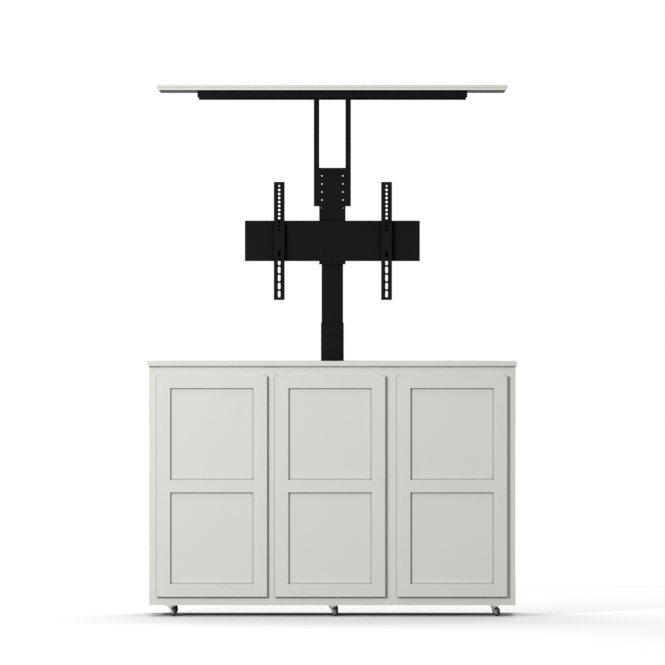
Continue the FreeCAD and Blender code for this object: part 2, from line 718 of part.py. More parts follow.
def screw_bearing_block():
    return inner_block(
        STAGE_1_WIDTH, STAGE_1_DEPTH, STAGE_1_CORNER, BASE_PLATE_TOP_Z, BEARING_TOP_Z
    )


def screw_nut():
    return inner_block(STAGE_2_WIDTH, STAGE_2_DEPTH, STAGE_2_CORNER, STAGE_2_FOOT_Z, NUT_TOP_Z)


def drive_screw():
    return rod_z(
        SCREW_RADIUS, 0, COLUMN_Y, BASE_PLATE_TOP_Z + SCREW_SEAT, STAGE_1_TOP_Z - SCREW_BELOW_TOP
    )


def gearbox():
    x1 = GEARBOX_FLANK_X
    x0 = x1 - GEARBOX_LENGTH
    half = GEARBOX_DEPTH / 2
    housing = box(
        x0, x1, COLUMN_Y - half, COLUMN_Y + half, BASE_PLATE_TOP_Z, BASE_PLATE_TOP_Z + GEARBOX_HEIGHT
    )
    return housing.makeFillet(GEARBOX_ROUND, housing.Edges)


def lift_motor():
    x1 = GEARBOX_FLANK_X - GEARBOX_LENGTH
    x0 = x1 - MOTOR_LENGTH
    z = BASE_PLATE_TOP_Z + GEARBOX_HEIGHT / 2
    can = rod_x(MOTOR_RADIUS, x0, x1, COLUMN_Y, z)
    cap = rod_x(MOTOR_CAP_RADIUS, x0 - MOTOR_CAP_LENGTH, x0, COLUMN_Y, z)
    return fused([can, cap])


def inlet_socket():
    half = INLET_WIDTH / 2
    z = FLOOR_BOARD_TOP_Z + CONTROL_BOX_HEIGHT / 2
    return box(
        CABLE_NOTCH_X - half, CABLE_NOTCH_X + half,
        CONTROL_BOX_BACK_Y - INLET_DEPTH, CONTROL_BOX_BACK_Y,
        z - INLET_HEIGHT / 2, z + INLET_HEIGHT / 2,
    )


def control_box():
    x1 = CONTROL_BOX_X + CONTROL_BOX_WIDTH
    y0 = CONTROL_BOX_BACK_Y - CONTROL_BOX_DEPTH
    top = FLOOR_BOARD_TOP_Z + CONTROL_BOX_HEIGHT
    case = box(CONTROL_BOX_X, x1, y0, CONTROL_BOX_BACK_Y, FLOOR_BOARD_TOP_Z, top)
    case = case.makeFillet(CONTROL_BOX_ROUND, edges_in_plane(case, "Z", top))
    return case.cut(inlet_socket())


def cable_points():
    # out of the gearbox's back, down behind the base plate, along the board, into the box's flank
    start = FreeCAD.Vector(
        GEARBOX_FLANK_X - GEARBOX_LENGTH / 2,
        COLUMN_Y + GEARBOX_DEPTH / 2,
        BASE_PLATE_TOP_Z + CABLE_EXIT_HEIGHT,
    )
    end = FreeCAD.Vector(
        CONTROL_BOX_X,
        CONTROL_BOX_BACK_Y - CABLE_ENTRY_FROM_BACK,
        FLOOR_BOARD_TOP_Z + CABLE_ENTRY_HEIGHT,
    )
    lane_y = (COLUMN_Y + BASE_PLATE_DEPTH / 2 + BACK_PANEL_Y) / 2
    low = FLOOR_BOARD_TOP_Z + CABLE_RADIUS + CABLE_LIFT
    over_plate = BASE_PLATE_TOP_Z + CABLE_RADIUS + CABLE_LIFT
    across = end.x - start.x
    back = lane_y - start.y
    down = start.z - low
    ahead = lane_y - end.y
    # chosen by eye, as shares of the way across, back and down
    leaving = [(0.0, 0.45, 0.0), (0.02, 0.78, 0.77), (0.12, 1.0, 1.0), (0.29, 1.04, 1.0),
               (0.53, 0.98, 0.96)]
    points = [start]
    for along, behind, lowered in leaving:
        points.append(
            FreeCAD.Vector(
                start.x + along * across, start.y + behind * back, start.z - lowered * down
            )
        )
    points.append(FreeCAD.Vector(start.x + 0.75 * across, end.y + 0.6 * ahead, over_plate))
    points.append(FreeCAD.Vector(start.x + 0.88 * across, end.y, end.z))
    points.append(end)
    return points


def bend(before, corner, after):
    # straight runs meet in an arc that takes the same share of the shorter run on both sides
    back = before - corner
    ahead = after - corner
    reach = CABLE_BEND_SHARE * min(back.Length, ahead.Length)
    back.normalize()
    ahead.normalize()
    half = back.getAngle(ahead) / 2
    inward = back + ahead
    inward.normalize()
    radius = reach * math.tan(half)
    middle = corner + inward * (reach / math.cos(half) - radius)
    return corner + back * reach, middle, corner + ahead * reach, radius


def motor_cable():
    points = cable_points()
    edges = []
    start = points[0]
    radii = []
    for before, corner, after in zip(points[:-2], points[1:-1], points[2:]):
        first, middle, last, radius = bend(before, corner, after)
        edges.append(Part.LineSegment(start, first).toShape())
        edges.append(Part.Arc(first, middle, last).toShape())
        radii.append(round(radius, 1))
        start = last
    edges.append(Part.LineSegment(start, points[-1]).toShape())
    path = Part.Wire(edges)
    section = Part.Wire(
        [Part.makeCircle(CABLE_RADIUS, points[0], points[1] - points[0])]
    )
    cable = path.makePipeShell([section], True, True)
    expected = math.pi * CABLE_RADIUS ** 2 * path.Length
    print("motor cable: radii", radii, "length", round(path.Length, 1),
          "volume to section by length", round(cable.Volume / expected, 4))
    return cable


def mains_inlet():
    socket = inlet_socket()
    limits = socket.BoundBox
    cavity = box(
        limits.XMin + INLET_WALL, limits.XMax - INLET_WALL,
        limits.YMin + INLET_FLOOR, limits.YMax,
        limits.ZMin + INLET_WALL, limits.ZMax - INLET_WALL,
    )
    z = (limits.ZMin + limits.ZMax) / 2
    half = INLET_PIN_WIDTH / 2
    pins = []
    for step in (-1, 0, 1):
        x = CABLE_NOTCH_X + step * INLET_PIN_SPACING
        pins.append(
            box(
                x - half, x + half, limits.YMin + INLET_FLOOR, limits.YMax - INLET_FLOOR,
                z - INLET_PIN_HEIGHT / 2, z + INLET_PIN_HEIGHT / 2,
            )
        )
    return fused([socket.cut(cavity)] + pins)


# ---- carriage and television carrier ----
def carriage_bracket():
    back = CARRIAGE_FRONT_Y + CARRIAGE_DEPTH
    half = CARRIAGE_HALF
    outer = box(-half, half, CARRIAGE_FRONT_Y, back, CARRIAGE_FOOT_Z, CARRIAGE_TOP_Z)
    inside = half - CARRIAGE_WALL
    bore = box(-inside, inside, CARRIAGE_BACK_Y, back, CARRIAGE_FOOT_Z, CARRIAGE_TOP_Z)
    cap = box(
        -inside, inside, CARRIAGE_BACK_Y, COLUMN_Y + STAGE_4_DEPTH / 2,
        STAGE_4_TOP_Z, STAGE_4_TOP_Z + CARRIAGE_CAP,
    )
    channel = fused([outer.cut(bore), cap])
    holes = []
    for row in range(1, CARRIAGE_HOLE_ROWS + 1):
        z = CARRIAGE_TOP_Z - row * CARRIAGE_HOLE_PITCH
        for side in (-1, 1):
            x = side * (half - CARRIAGE_HOLE_INSET)
            holes.append(rod_y(CARRIAGE_HOLE_RADIUS, x, CARRIAGE_FRONT_Y, CARRIAGE_BACK_Y, z))
    holes += [plate_bolt(x, z) for x, z in plate_bolt_places()]
    holes += [upright_bolt(side, z) for side, z in upright_bolt_places()]
    return without(channel, holes)


def mount_plate():
    half = PLATE_WIDTH / 2
    sheet = box(-half, half, PLATE_FRONT_Y, CARRIAGE_FRONT_Y, PLATE_FOOT_Z, PLATE_TOP_Z)
    plate = fused([sheet, plate_lip()])
    return without(plate, [plate_bolt(x, z) for x, z in plate_bolt_places()])


def plate_lip(clearance=0.0):
    half = PLATE_WIDTH / 2
    return box(
        -half, half, PLATE_FRONT_Y - PLATE_LIP_THICKNESS, PLATE_FRONT_Y,
        PLATE_TOP_Z - PLATE_LIP_HEIGHT - clearance, PLATE_TOP_Z + clearance,
    )


def strip_slot(x, z):
    radius = STRIP_SLOT_WIDTH / 2
    reach = (STRIP_SLOT_LENGTH - STRIP_SLOT_WIDTH) / 2
    back = STRIP_FRONT_Y + STRIP_WALL
    middle = box(x - radius, x + radius, STRIP_FRONT_Y, back, z - reach, z + reach)
    ends = [rod_y(radius, x, STRIP_FRONT_Y, back, z + end) for end in (-reach, reach)]
    return fused([middle] + ends)


def vesa_strip(side):
    x = STRIP_SHIFT + side * STRIP_SPACING / 2
    half = STRIP_WIDTH / 2
    foot = STRIP_TOP_Z - STRIP_HEIGHT
    inside = half - STRIP_WALL
    back = STRIP_FRONT_Y + STRIP_WALL
    outer = box(x - half, x + half, STRIP_FRONT_Y, PLATE_FRONT_Y, foot, STRIP_TOP_Z)
    strip = outer.cut(box(x - inside, x + inside, back, PLATE_FRONT_Y, foot, STRIP_TOP_Z))
    strip = strip.cut(plate_lip(LIP_NOTCH_CLEARANCE))
    holes = []
    for row in range(1, STRIP_HOLES + 1):
        radius = STRIP_TOP_HOLE_RADIUS if row == 1 else STRIP_HOLE_RADIUS
        z = STRIP_TOP_Z - row * STRIP_HOLE_PITCH
        holes.append(rod_y(radius, x, STRIP_FRONT_Y, back, z))
    for row in range(STRIP_SLOTS):
        holes.append(strip_slot(x, STRIP_TOP_Z - STRIP_SLOT_FIRST - row * STRIP_SLOT_PITCH))
    return without(strip, holes)


def plate_bolt_places():
    middle = (PLATE_FOOT_Z + PLATE_TOP_Z) / 2
    return [
        (sx * PLATE_BOLT_X, middle + sz * PLATE_BOLT_Z) for sx in (-1, 1) for sz in (-1, 1)
    ]


def plate_bolt(x, z):
    # countersunk from the front, flush with the back of the carriage web
    shank = rod_y(BOLT_RADIUS, x, PLATE_FRONT_Y, CARRIAGE_BACK_Y, z)
    depth = BOLT_HEAD_RADIUS - BOLT_RADIUS
    head = Part.makeCone(
        BOLT_HEAD_RADIUS, BOLT_RADIUS, depth,
        FreeCAD.Vector(x, PLATE_FRONT_Y, z), FreeCAD.Vector(0, 1, 0),
    )
    return fused([shank, head])


def upright_bolt_places():
    middle = CARRIAGE_TOP_Z - UPRIGHT_LAP / 2
    first = -(UPRIGHT_BOLTS - 1) / 2
    return [
        (side, middle + (first + step) * UPRIGHT_BOLT_PITCH)
        for side in (-1, 1) for step in range(UPRIGHT_BOLTS)
    ]


def upright_bolt(side, z):
    y = CARRIAGE_FRONT_Y + UPRIGHT_BOLT_BACK
    inner = CARRIAGE_HALF - CARRIAGE_WALL
    face = CARRIAGE_HALF + UPRIGHT_WALL
    shank = rod_x(BOLT_RADIUS, inner, face, y, z)
    head = rod_x(BOLT_HEAD_RADIUS, face, face + BOLT_HEAD_HEIGHT, y, z)
    bolt = fused([shank, head])
    return bolt if side > 0 else mirrored_x(bolt)


def foot_bolt_places():
    x = CARRIAGE_HALF + UPRIGHT_FOOT_WIDTH - FOOT_BOLT_INSET
    y0 = CARRIAGE_FRONT_Y + FOOT_BOLT_INSET
    y1 = CARRIAGE_FRONT_Y + UPRIGHT_FOOT_DEPTH - FOOT_BOLT_INSET
    return [(side * x, y) for side in (-1, 1) for y in (y0, y1)]


def foot_bolt(x, y):
    # head under the upright's foot, shank flush with the top of the tray
    shank = rod_z(BOLT_RADIUS, x, y, UPRIGHT_FOOT_Z, LID_UNDER_Z)
    head = rod_z(BOLT_HEAD_RADIUS, x, y, UPRIGHT_FOOT_Z - BOLT_HEAD_HEIGHT, UPRIGHT_FOOT_Z)
    return fused([shank, head])


def carriage_bolts():
    bolts = [plate_bolt(x, z) for x, z in plate_bolt_places()]
    bolts += [upright_bolt(side, z) for side, z in upright_bolt_places()]
    bolts += [foot_bolt(x, y) for x, y in foot_bolt_places()]
    return group(bolts)


def upright():
    x0 = CARRIAGE_HALF
    y0 = CARRIAGE_FRONT_Y
    front = box(x0, x0 + UPRIGHT_WIDTH, y0, y0 + UPRIGHT_WALL, UPRIGHT_END_Z, UPRIGHT_FOOT_Z)
    flank = box(x0, x0 + UPRIGHT_WALL, y0, y0 + UPRIGHT_DEPTH, UPRIGHT_END_Z, UPRIGHT_FOOT_Z)
    foot = box(
        x0, x0 + UPRIGHT_FOOT_WIDTH, y0, y0 + UPRIGHT_FOOT_DEPTH, UPRIGHT_FOOT_Z, TRAY_SHEET_Z
    )
    bolts = [upright_bolt(1, z) for side, z in upright_bolt_places() if side > 0]
    bolts += [foot_bolt(x, y) for x, y in foot_bolt_places() if x > 0]
    return without(fused([front, flank, foot]), bolts)


# ---- tray and lid ----
def lid_screw_places():
    dx = TRAY_WIDTH / 2 - LID_SCREW_INSET_X
    dy = TRAY_DEPTH / 2 - LID_SCREW_INSET_Y
    return [(sx * dx, sy * dy) for sx in (-1, 0, 1) for sy in (-1, 1)]


def lid_screw(x, y):
    shank = rod_z(LID_SCREW_RADIUS, x, y, TRAY_SHEET_Z, LID_UNDER_Z + LID_SCREW_BITE)
    foot = TRAY_SHEET_Z - LID_SCREW_HEAD_HEIGHT
    return fused([shank, rod_z(LID_SCREW_HEAD_RADIUS, x, y, foot, TRAY_SHEET_Z)])


def lid_tray():
    hx = TRAY_WIDTH / 2
    hy = TRAY_DEPTH / 2
    outer = box(-hx, hx, -hy, hy, TRAY_UNDER_Z, LID_UNDER_Z)
    # flanged along its front and back, open at its ends
    iy = hy - TRAY_SHEET
    tray = outer.cut(box(-hx, hx, -iy, iy, TRAY_UNDER_Z, TRAY_SHEET_Z))
    bolts = [lid_screw(x, y) for x, y in lid_screw_places()]
    bolts += [foot_bolt(x, y) for x, y in foot_bolt_places()]
    return without(tray, bolts)


def rectangle(hx, hy, z):
    corners = [(-hx, -hy), (hx, -hy), (hx, hy), (-hx, hy), (-hx, -hy)]
    return Part.makePolygon([FreeCAD.Vector(x, y, z) for x, y in corners])


def lid_board():
    hx = LID_WIDTH / 2
    hy = LID_DEPTH / 2
    step_z = LID_UNDER_Z + LID_THICKNESS - LID_TOP_LAYER
    top_z = LID_UNDER_Z + LID_THICKNESS
    top = box(-hx, hx, -hy, hy, step_z, top_z)
    top = top.makeFillet(BOARD_EDGE_ROUND, edges_in_plane(top, "Z", top_z))
    lower = Part.makeLoft(
        [
            rectangle(hx - LID_END_BEVEL, hy - LID_FRONT_BEVEL, LID_UNDER_Z),
            rectangle(hx - LID_STEP, hy - LID_STEP, step_z),
        ],
        True,
    )
    return without(fused([top, lower]), [lid_screw(x, y) for x, y in lid_screw_places()])


def lid_pads():
    # under the lid, over the worktop's margin round the well
    foot = LID_UNDER_Z - LID_REST_GAP + LID_PAD_CLEARANCE
    return group([
        rod_z(LID_PAD_RADIUS, sx * LID_PAD_X, sy * LID_PAD_Y, foot, LID_UNDER_Z)
        for sx in (-1, 1) for sy in (-1, 1)
    ])


# ---- casters ----
def caster_screw_places():
    d = CASTER_SCREW_OFFSET
    return [
        (x + sx * d, y + sy * d) for x, y in CASTER_PLACES for sx in (-1, 1) for sy in (-1, 1)
    ]


def caster_screw(x, y):
    shank = rod_z(CASTER_SCREW_RADIUS, x, y, CASTER_PLATE_Z, BODY_BOTTOM_Z + CASTER_SCREW_BITE)
    foot = CASTER_PLATE_Z - CASTER_SCREW_HEAD_HEIGHT
    return fused([shank, rod_z(CASTER_SCREW_HEAD_RADIUS, x, y, foot, CASTER_PLATE_Z)])


def caster_plates():
    screws = [caster_screw(x, y) for x, y in caster_screw_places()]
    half = CASTER_PLATE / 2
    head_top = CASTER_CROWN_Z - CASTER_PLAY
    head_foot = head_top - CASTER_KINGPIN_HEAD_HEIGHT
    plates = []
    for x, y in CASTER_PLACES:
        plate = box(x - half, x + half, y - half, y + half, CASTER_PLATE_Z, CASTER_HEIGHT)
        race = rod_z(CASTER_RACE_RADIUS, x, y, CASTER_RACE_Z, CASTER_PLATE_Z)
        kingpin = rod_z(CASTER_KINGPIN_RADIUS, x, y, head_foot, CASTER_PLATE_Z)
        head = rod_z(CASTER_KINGPIN_HEAD_RADIUS, x, y, head_foot, head_top)
        plates.append(without(fused([plate, race, kingpin, head]), screws))
    return group(plates)


def caster_screws():
    return group([caster_screw(x, y) for x, y in caster_screw_places()])


def placed_caster(shape, x, y):
    turned = shape.copy()
    turned.rotate(FreeCAD.Vector(0, 0, 0), FreeCAD.Vector(0, 0, 1), CASTER_ANGLE)
    turned.translate(FreeCAD.Vector(x, y, 0))
    return turned


def caster_arm():
    # drawn in the plane of the wheel's side, kingpin at zero, trail along +X
    eye = CASTER_ARM_EYE
    corners = [
        (-CASTER_CROWN_BACK, CASTER_CROWN_TOP_Z),
        (CASTER_TRAIL - CASTER_ARM_NOSE, CASTER_CROWN_TOP_Z),
        (CASTER_TRAIL + eye, CASTER_WHEEL_RADIUS + CASTER_ARM_RISE),
        (CASTER_TRAIL - eye, CASTER_WHEEL_RADIUS - CASTER_ARM_RISE),
        (-CASTER_CROWN_BACK, CASTER_CROWN_Z - CASTER_ARM_SKIRT),
    ]
    points = [FreeCAD.Vector(x, CASTER_ARM_IN, z) for x, z in corners]
    outline = Part.Face(Part.makePolygon(points + [points[0]]))
    side = outline.extrude(FreeCAD.Vector(0, CASTER_ARM_THICKNESS, 0))
    boss = rod_y(eye, CASTER_TRAIL, CASTER_ARM_IN, CASTER_ARM_OUT, CASTER_WHEEL_RADIUS)
    return fused([side, boss])


def caster_fork():
    arm = caster_arm()
    other = arm.mirror(FreeCAD.Vector(0, 0, 0), FreeCAD.Vector(0, 1, 0))
    crown = box(
        -CASTER_CROWN_BACK, CASTER_TRAIL - CASTER_ARM_NOSE, -CASTER_ARM_OUT, CASTER_ARM_OUT,
        CASTER_CROWN_Z, CASTER_CROWN_TOP_Z,
    )
    disc = rod_z(CASTER_CROWN_RADIUS, 0, 0, CASTER_CROWN_Z, CASTER_CROWN_TOP_Z)
    bore = rod_z(
        CASTER_KINGPIN_RADIUS + PIN_RUNNING_CLEARANCE, 0, 0, CASTER_CROWN_Z, CASTER_CROWN_TOP_Z
    )
    end = CASTER_ARM_OUT + CASTER_AXLE_PROUD
    axle = rod_y(CASTER_AXLE_RADIUS, CASTER_TRAIL, -end, end, CASTER_WHEEL_RADIUS)
    fork = fused([crown, disc, arm, other]).cut(bore).cut(axle)
    return group([fork, axle])


def caster_wheel():
    half = CASTER_WHEEL_WIDTH / 2
    hub_half = half + CASTER_HUB_PROUD
    x = CASTER_TRAIL
    z = CASTER_WHEEL_RADIUS
    tyre = rod_y(CASTER_WHEEL_RADIUS, x, -half, half, z)
    tyre = tyre.makeFillet(
        CASTER_TYRE_ROUND, edges_in_plane(tyre, "Y", half) + edges_in_plane(tyre, "Y", -half)
    )
    tyre = tyre.cut(rod_y(CASTER_HUB_RADIUS, x, -half, half, z))
    hub = rod_y(CASTER_HUB_RADIUS, x, -hub_half, hub_half, z)
    bore = rod_y(CASTER_AXLE_RADIUS + PIN_RUNNING_CLEARANCE, x, -hub_half, hub_half, z)
    return group([tyre, hub.cut(bore)])


# ---- all nodes ----
def save_cabinet():
    save("side_panel_left", side_panel(BODY_LEFT))
    save("side_panel_right", side_panel(INSIDE_RIGHT))
    save("bottom_board", bottom_board())
    save("worktop", worktop())
    save("back_panel", back_panel())
    save("rear_rail", rear_rail())
    save("face_frame_stiles", face_frame_stiles())
    save("face_frame_rails", face_frame_rails())
    save("hinge_leaves", group([hinge_leaf(*place) for place in hinge_places()]))
    save("magnet_catches", magnet_catches())


def save_doors():
    for name, x0, side in DOORS:
        save("door_" + name + "_frame", door_frame(x0, side))
        save("door_" + name + "_panels", door_panels(x0))
        save("door_" + name + "_hardware", door_hardware(x0, side))


def save_lift():
    save("lift_base_plate", lift_base_plate())
    save("base_bolts", base_bolts())
    save("column_stage_1", column_stage_1())
    save("column_stage_2", column_stage_2())
    save("column_stage_3", column_stage_3())
    save("column_stage_4", column_stage_4())
    save(
        "stage_1_collar",
        stage_collar(STAGE_1_WIDTH, STAGE_1_DEPTH, STAGE_1_CORNER, STAGE_1_TOP_Z),
    )
    save(
        "stage_2_collar",
        stage_collar(STAGE_2_WIDTH, STAGE_2_DEPTH, STAGE_2_CORNER, STAGE_2_TOP_Z),
    )
    save("stage_3_collar", stage_3_collar())
    save("screw_bearing_block", screw_bearing_block())
    save("screw_nut", screw_nut())
    save("drive_screw", drive_screw())
    save("gearbox", gearbox())
    save("lift_motor", lift_motor())
    save("control_box", group([control_box(), mains_inlet()]))
    save("motor_cable", motor_cable())


def save_carrier():
    save("carriage_bracket", carriage_bracket())
    save("mount_plate", mount_plate())
    save("vesa_strip_left", vesa_strip(-1))
    save("vesa_strip_right", vesa_strip(1))
    save("upright_right", upright())
    save("upright_left", mirrored_x(upright()))
    save("carriage_bolts", carriage_bolts())
    save("lid_tray", lid_tray())
    save("lid_board", lid_board())
    save("lid_pads", lid_pads())
    save("lid_screws", group([lid_screw(x, y) for x, y in lid_screw_places()]))


def save_casters():
    save("caster_plates", caster_plates())
    save("caster_screws", caster_screws())
    fork = caster_fork()
    wheel = caster_wheel()
    for number, (x, y) in enumerate(CASTER_PLACES, start=1):
        save("caster_fork_" + str(number), placed_caster(fork, x, y))
        save("caster_wheel_" + str(number), placed_caster(wheel, x, y))


os.makedirs("parts", exist_ok=True)
save_cabinet()
save_doors()
save_lift()
save_carrier()
save_casters()
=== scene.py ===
import json
import math

import bmesh
import bpy
from mathutils import Matrix, Vector

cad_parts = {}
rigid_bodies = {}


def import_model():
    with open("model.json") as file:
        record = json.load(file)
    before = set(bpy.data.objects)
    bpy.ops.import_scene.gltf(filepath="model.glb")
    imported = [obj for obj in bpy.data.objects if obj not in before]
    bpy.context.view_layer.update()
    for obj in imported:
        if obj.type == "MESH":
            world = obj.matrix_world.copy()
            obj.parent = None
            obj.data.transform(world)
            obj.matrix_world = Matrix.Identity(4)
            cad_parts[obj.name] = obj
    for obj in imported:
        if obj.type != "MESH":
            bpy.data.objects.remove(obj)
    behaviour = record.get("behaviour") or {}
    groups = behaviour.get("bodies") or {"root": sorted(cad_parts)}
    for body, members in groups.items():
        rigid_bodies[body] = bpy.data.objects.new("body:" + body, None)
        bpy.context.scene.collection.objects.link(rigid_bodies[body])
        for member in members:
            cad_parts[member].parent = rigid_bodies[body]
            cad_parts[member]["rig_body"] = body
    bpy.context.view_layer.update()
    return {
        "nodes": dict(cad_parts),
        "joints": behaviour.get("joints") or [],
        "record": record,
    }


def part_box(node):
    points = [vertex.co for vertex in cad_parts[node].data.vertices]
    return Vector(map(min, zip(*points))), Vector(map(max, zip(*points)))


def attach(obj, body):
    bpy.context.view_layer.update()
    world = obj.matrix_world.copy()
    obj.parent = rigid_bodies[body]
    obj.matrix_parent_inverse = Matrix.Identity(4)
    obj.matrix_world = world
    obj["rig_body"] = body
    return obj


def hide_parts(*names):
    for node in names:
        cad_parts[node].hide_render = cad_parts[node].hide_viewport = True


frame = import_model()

MM = 0.001

# ---- the view: level, far away, aimed at the middle of the picture ----
PICTURE_WIDTH = 665
CAMERA_DISTANCE = 29.5
CAMERA_X = 0.0005
CAMERA_HEIGHT = 1.0505
PIXELS_PER_METRE = 270.6
SENSOR_WIDTH = 36.0
SEEN_TO = 200.0

# ---- light levels; the floor is drawn paler where the lamps no longer reach ----
WORLD_LEVEL = 0.53
FLOOR_BOUNCE = 0.24
FLOOR_MIRRORED = 0.85
FLOOR_SEEN = 0.97
FLOOR_HALF = 60.0
LAMPS_REACH = 3.5
UNLIT_FROM = 8.0
UNLIT_GAIN = 2.4

# ---- lamps: name, place, target, width, depth, watts ----
LAMPS = [
    ("key", (-2.5, -5.2, 1.85), (0, -0.2, 0.9), 0.4, 0.4, 194),
    ("overhead", (0, 2.8, 5.3), (0, 0, 0.0), 4.2, 3.6, 185),
]

# ---- paint and steel: tones in 0-255 display values, reaches and heights in metres ----
NOISE_ROUGHNESS = 0.55
CORNER_SAMPLES = 6
WHITE = (215, 216, 211)
PAINT_SPECULAR = 0.3
MOTTLE = 4
# painted shade in inner corners: its tone, reach and AO range, and the share of it on the stiles
CORNER_SHADE = (148, 148, 144)
CORNER_SHADE_REACH = 0.008
CORNER_SHADE_RANGE = (0.5, 0.95)
STILE_CORNER_SHADE = 0.65
LID_WHITE = (222, 223, 219)
# painted highlight on the lid's lower layer, painted shade on its underside and in its inner
# corners
LID_LOWER_PAINTED_LIGHT = (235, 236, 232)
LID_UNDER_PAINTED_SHADE = (178, 176, 171)
LID_SPECULAR = 0.0
LID_CORNER_SHADE = (70, 70, 66)
LID_CORNER_SHADE_REACH = 0.003
LID_TOP_LAYER = 0.0105
LAYER_BLUR = 0.0003
FACING_DOWN = (-0.98, -0.9)
STEEL = (20, 20, 20)
STEEL_CLOUD = (24, 24, 24)
STEEL_SPECULAR = 0.03
# painted shade in the steel's inner corners: its tone, reach and AO range
STEEL_CORNER_SHADE = (1, 1, 1)
STEEL_CORNER_SHADE_REACH = 0.012
STEEL_CORNER_SHADE_RANGE = (0.4, 0.95)

# ---- sizes of the details, in millimetres ----
TURN_STEPS = 48
BEVEL_STEPS = 3
SHARP_ANGLE = 32.0
MERGED_WITHIN = 0.01
# how far an added piece's foot goes into what it stands on
SUNK = 0.2

# fasteners: shares of the head's radius or height
SOCKET_SHARE = 0.5
SOCKET_DEPTH = 0.55
SOCKET_HEAD_ROUND = 0.5
CROSS_SHARE = 0.55
CROSS_ARM = 0.3
CROSS_DEPTH = 0.6
CROSS_TAPER = 0.7
PAN_ROUND = 0.6
WASHER_HEIGHT = 1.2
HEX_HEAD_SHARE = 0.8
HEX_CHAMFER = 0.6
HEX_CROWN = 0.96

# screws that scene.py adds: head radius, head height
MOTOR_SCREW = (2.4, 1.4)
COVER_SCREW = (2.8, 1.8)
EAR_SCREW = (3.2, 1.6)
BACK_SCREW = (3.6, 1.6)
HINGE_SCREW = (2.8, 0.7)

HUB_RADIUS = 10.0
HUB_BORE = 2.1
HUB_BOSS = 4.6
HUB_RIM = 8.6
HUB_DISH = 2.2
# the hub's face: in from its end, radius
HUB_FACE = (
    (0.0, HUB_BORE), (0.0, HUB_BOSS - 0.5), (0.3, HUB_BOSS), (HUB_DISH, HUB_BOSS + 0.3),
    (HUB_DISH, HUB_RIM - 0.4), (0.6, HUB_RIM), (0.3, HUB_RIM + 0.3), (0.3, HUB_RADIUS - 0.3),
    (0.6, HUB_RADIUS),
)
HUB_SPOKES = 6
SPOKE_WIDTH = 1.3
SPOKE_BEVEL = 0.25
SPOKE_BELOW_FACE = 0.5
SPOKE_IN_BOSS = 0.4
TYRE_SEAT_GAP = 0.02
TYRE_SHOULDER = 2.0
SHOULDER_STEPS = 4
TYRE_GROOVE = 0.35
# the tyre's side wall with its groove: in from the side, out from the seat
TYRE_WALL = (
    (0.3, 0.0), (0.0, 0.6), (0.0, 2.0), (TYRE_GROOVE, 2.3), (TYRE_GROOVE, 2.9), (0.0, 3.2),
)
TREAD_GROOVE_TOP = 0.7
TREAD_GROOVE_FOOT = 0.45
RIVET_RADIUS = 3.4
RIVET_HEIGHT = 1.5
RIVET_SUNK_SHARE = 0.5
# the rivet's dome: shares of its height and radius
RIVET_DOME = ((0.0, 1.0), (0.3, 0.97), (0.65, 0.8), (0.9, 0.5), (1.0, 0.12))

MOTOR_FLANGE = 5.0
MOTOR_FLANGE_CHAMFER = 0.6
MOTOR_CAN_INSET = 1.0
MOTOR_RIBS = 11
MOTOR_RIB_PITCH = 8.0
MOTOR_RIBS_FROM = 24.0
MOTOR_RIBS_LEAD = 2.0
# one rib of the can: along from its start, in from the motor's radius
MOTOR_RIB = ((0.0, 1.2), (0.8, 0.0), (4.0, 0.0), (4.8, 1.2))
BELL_LENGTH = 8.0
BELL_INSET = 6.5
BELL_ROUND = 2.0
CAN_ROUND = 4.0
MOTOR_SCREWS = 3
MOTOR_SCREW_INSET = 10.5

COVER_THICKNESS = 1.6
COVER_INSET = 5.0
COVER_SUNK = 0.5
COVER_BEVEL = 0.7
COVER_SCREW_INSET = 11.0

VENT_RIBS = 9
VENT_PITCH = 8.0
VENT_WIDTH = 2.8
VENT_HEIGHT = 1.0
VENT_SUNK = 0.4
VENT_BEVEL = 0.5
VENT_FROM_FRONT = 20
VENT_FROM_BACK = 28
EAR_LENGTH = 12.0
EAR_WIDTH = 18.0
EAR_THICKNESS = 2.5
EAR_SUNK = 0.5
EAR_LIFT = 0.3
EAR_FROM_FRONT = 4
EAR_BEVEL = 0.6
LAMP_RADIUS = 1.6
LAMP_HEIGHT = 0.9
LAMP_ROUND = 0.8
LAMP_SUNK = 0.3
LAMP_FROM_SIDE = 18
LAMP_FROM_TOP = 12

CABLE_RADIUS = 3.0
ON_FACE = 0.05
GLAND_LENGTH = 9.0
GLAND_PLAY = 0.1
GLAND_TIP = 0.6
GLAND_NECK = 1.2
GLAND_COLLAR = 2.4
GLAND_COLLAR_SHARE = 0.45

BACK_SCREWS = 7
BACK_SCREW_DROP = 30.0
BUMPER_RADIUS = 4.0
BUMPER_HEIGHT = 1.6
BUMPER_ROUND = 0.8
BUMPER_INSET = 6.5
POLE_WIDTH = 3.0
POLE_PROUD = 0.15
POLE_DEPTH = 2
POLE_FROM_END = 4
POLE_BEVEL = 0.3
HINGE_SCREW_SPREAD = 15.0
HINGE_SCREW_FROM_BACK = 8
HINGE_BACK_EDGE = 1.0
# the side that each door hangs on: -1 left, 1 right
HUNG_ON = {"left": -1, "centre": 1, "right": 1}


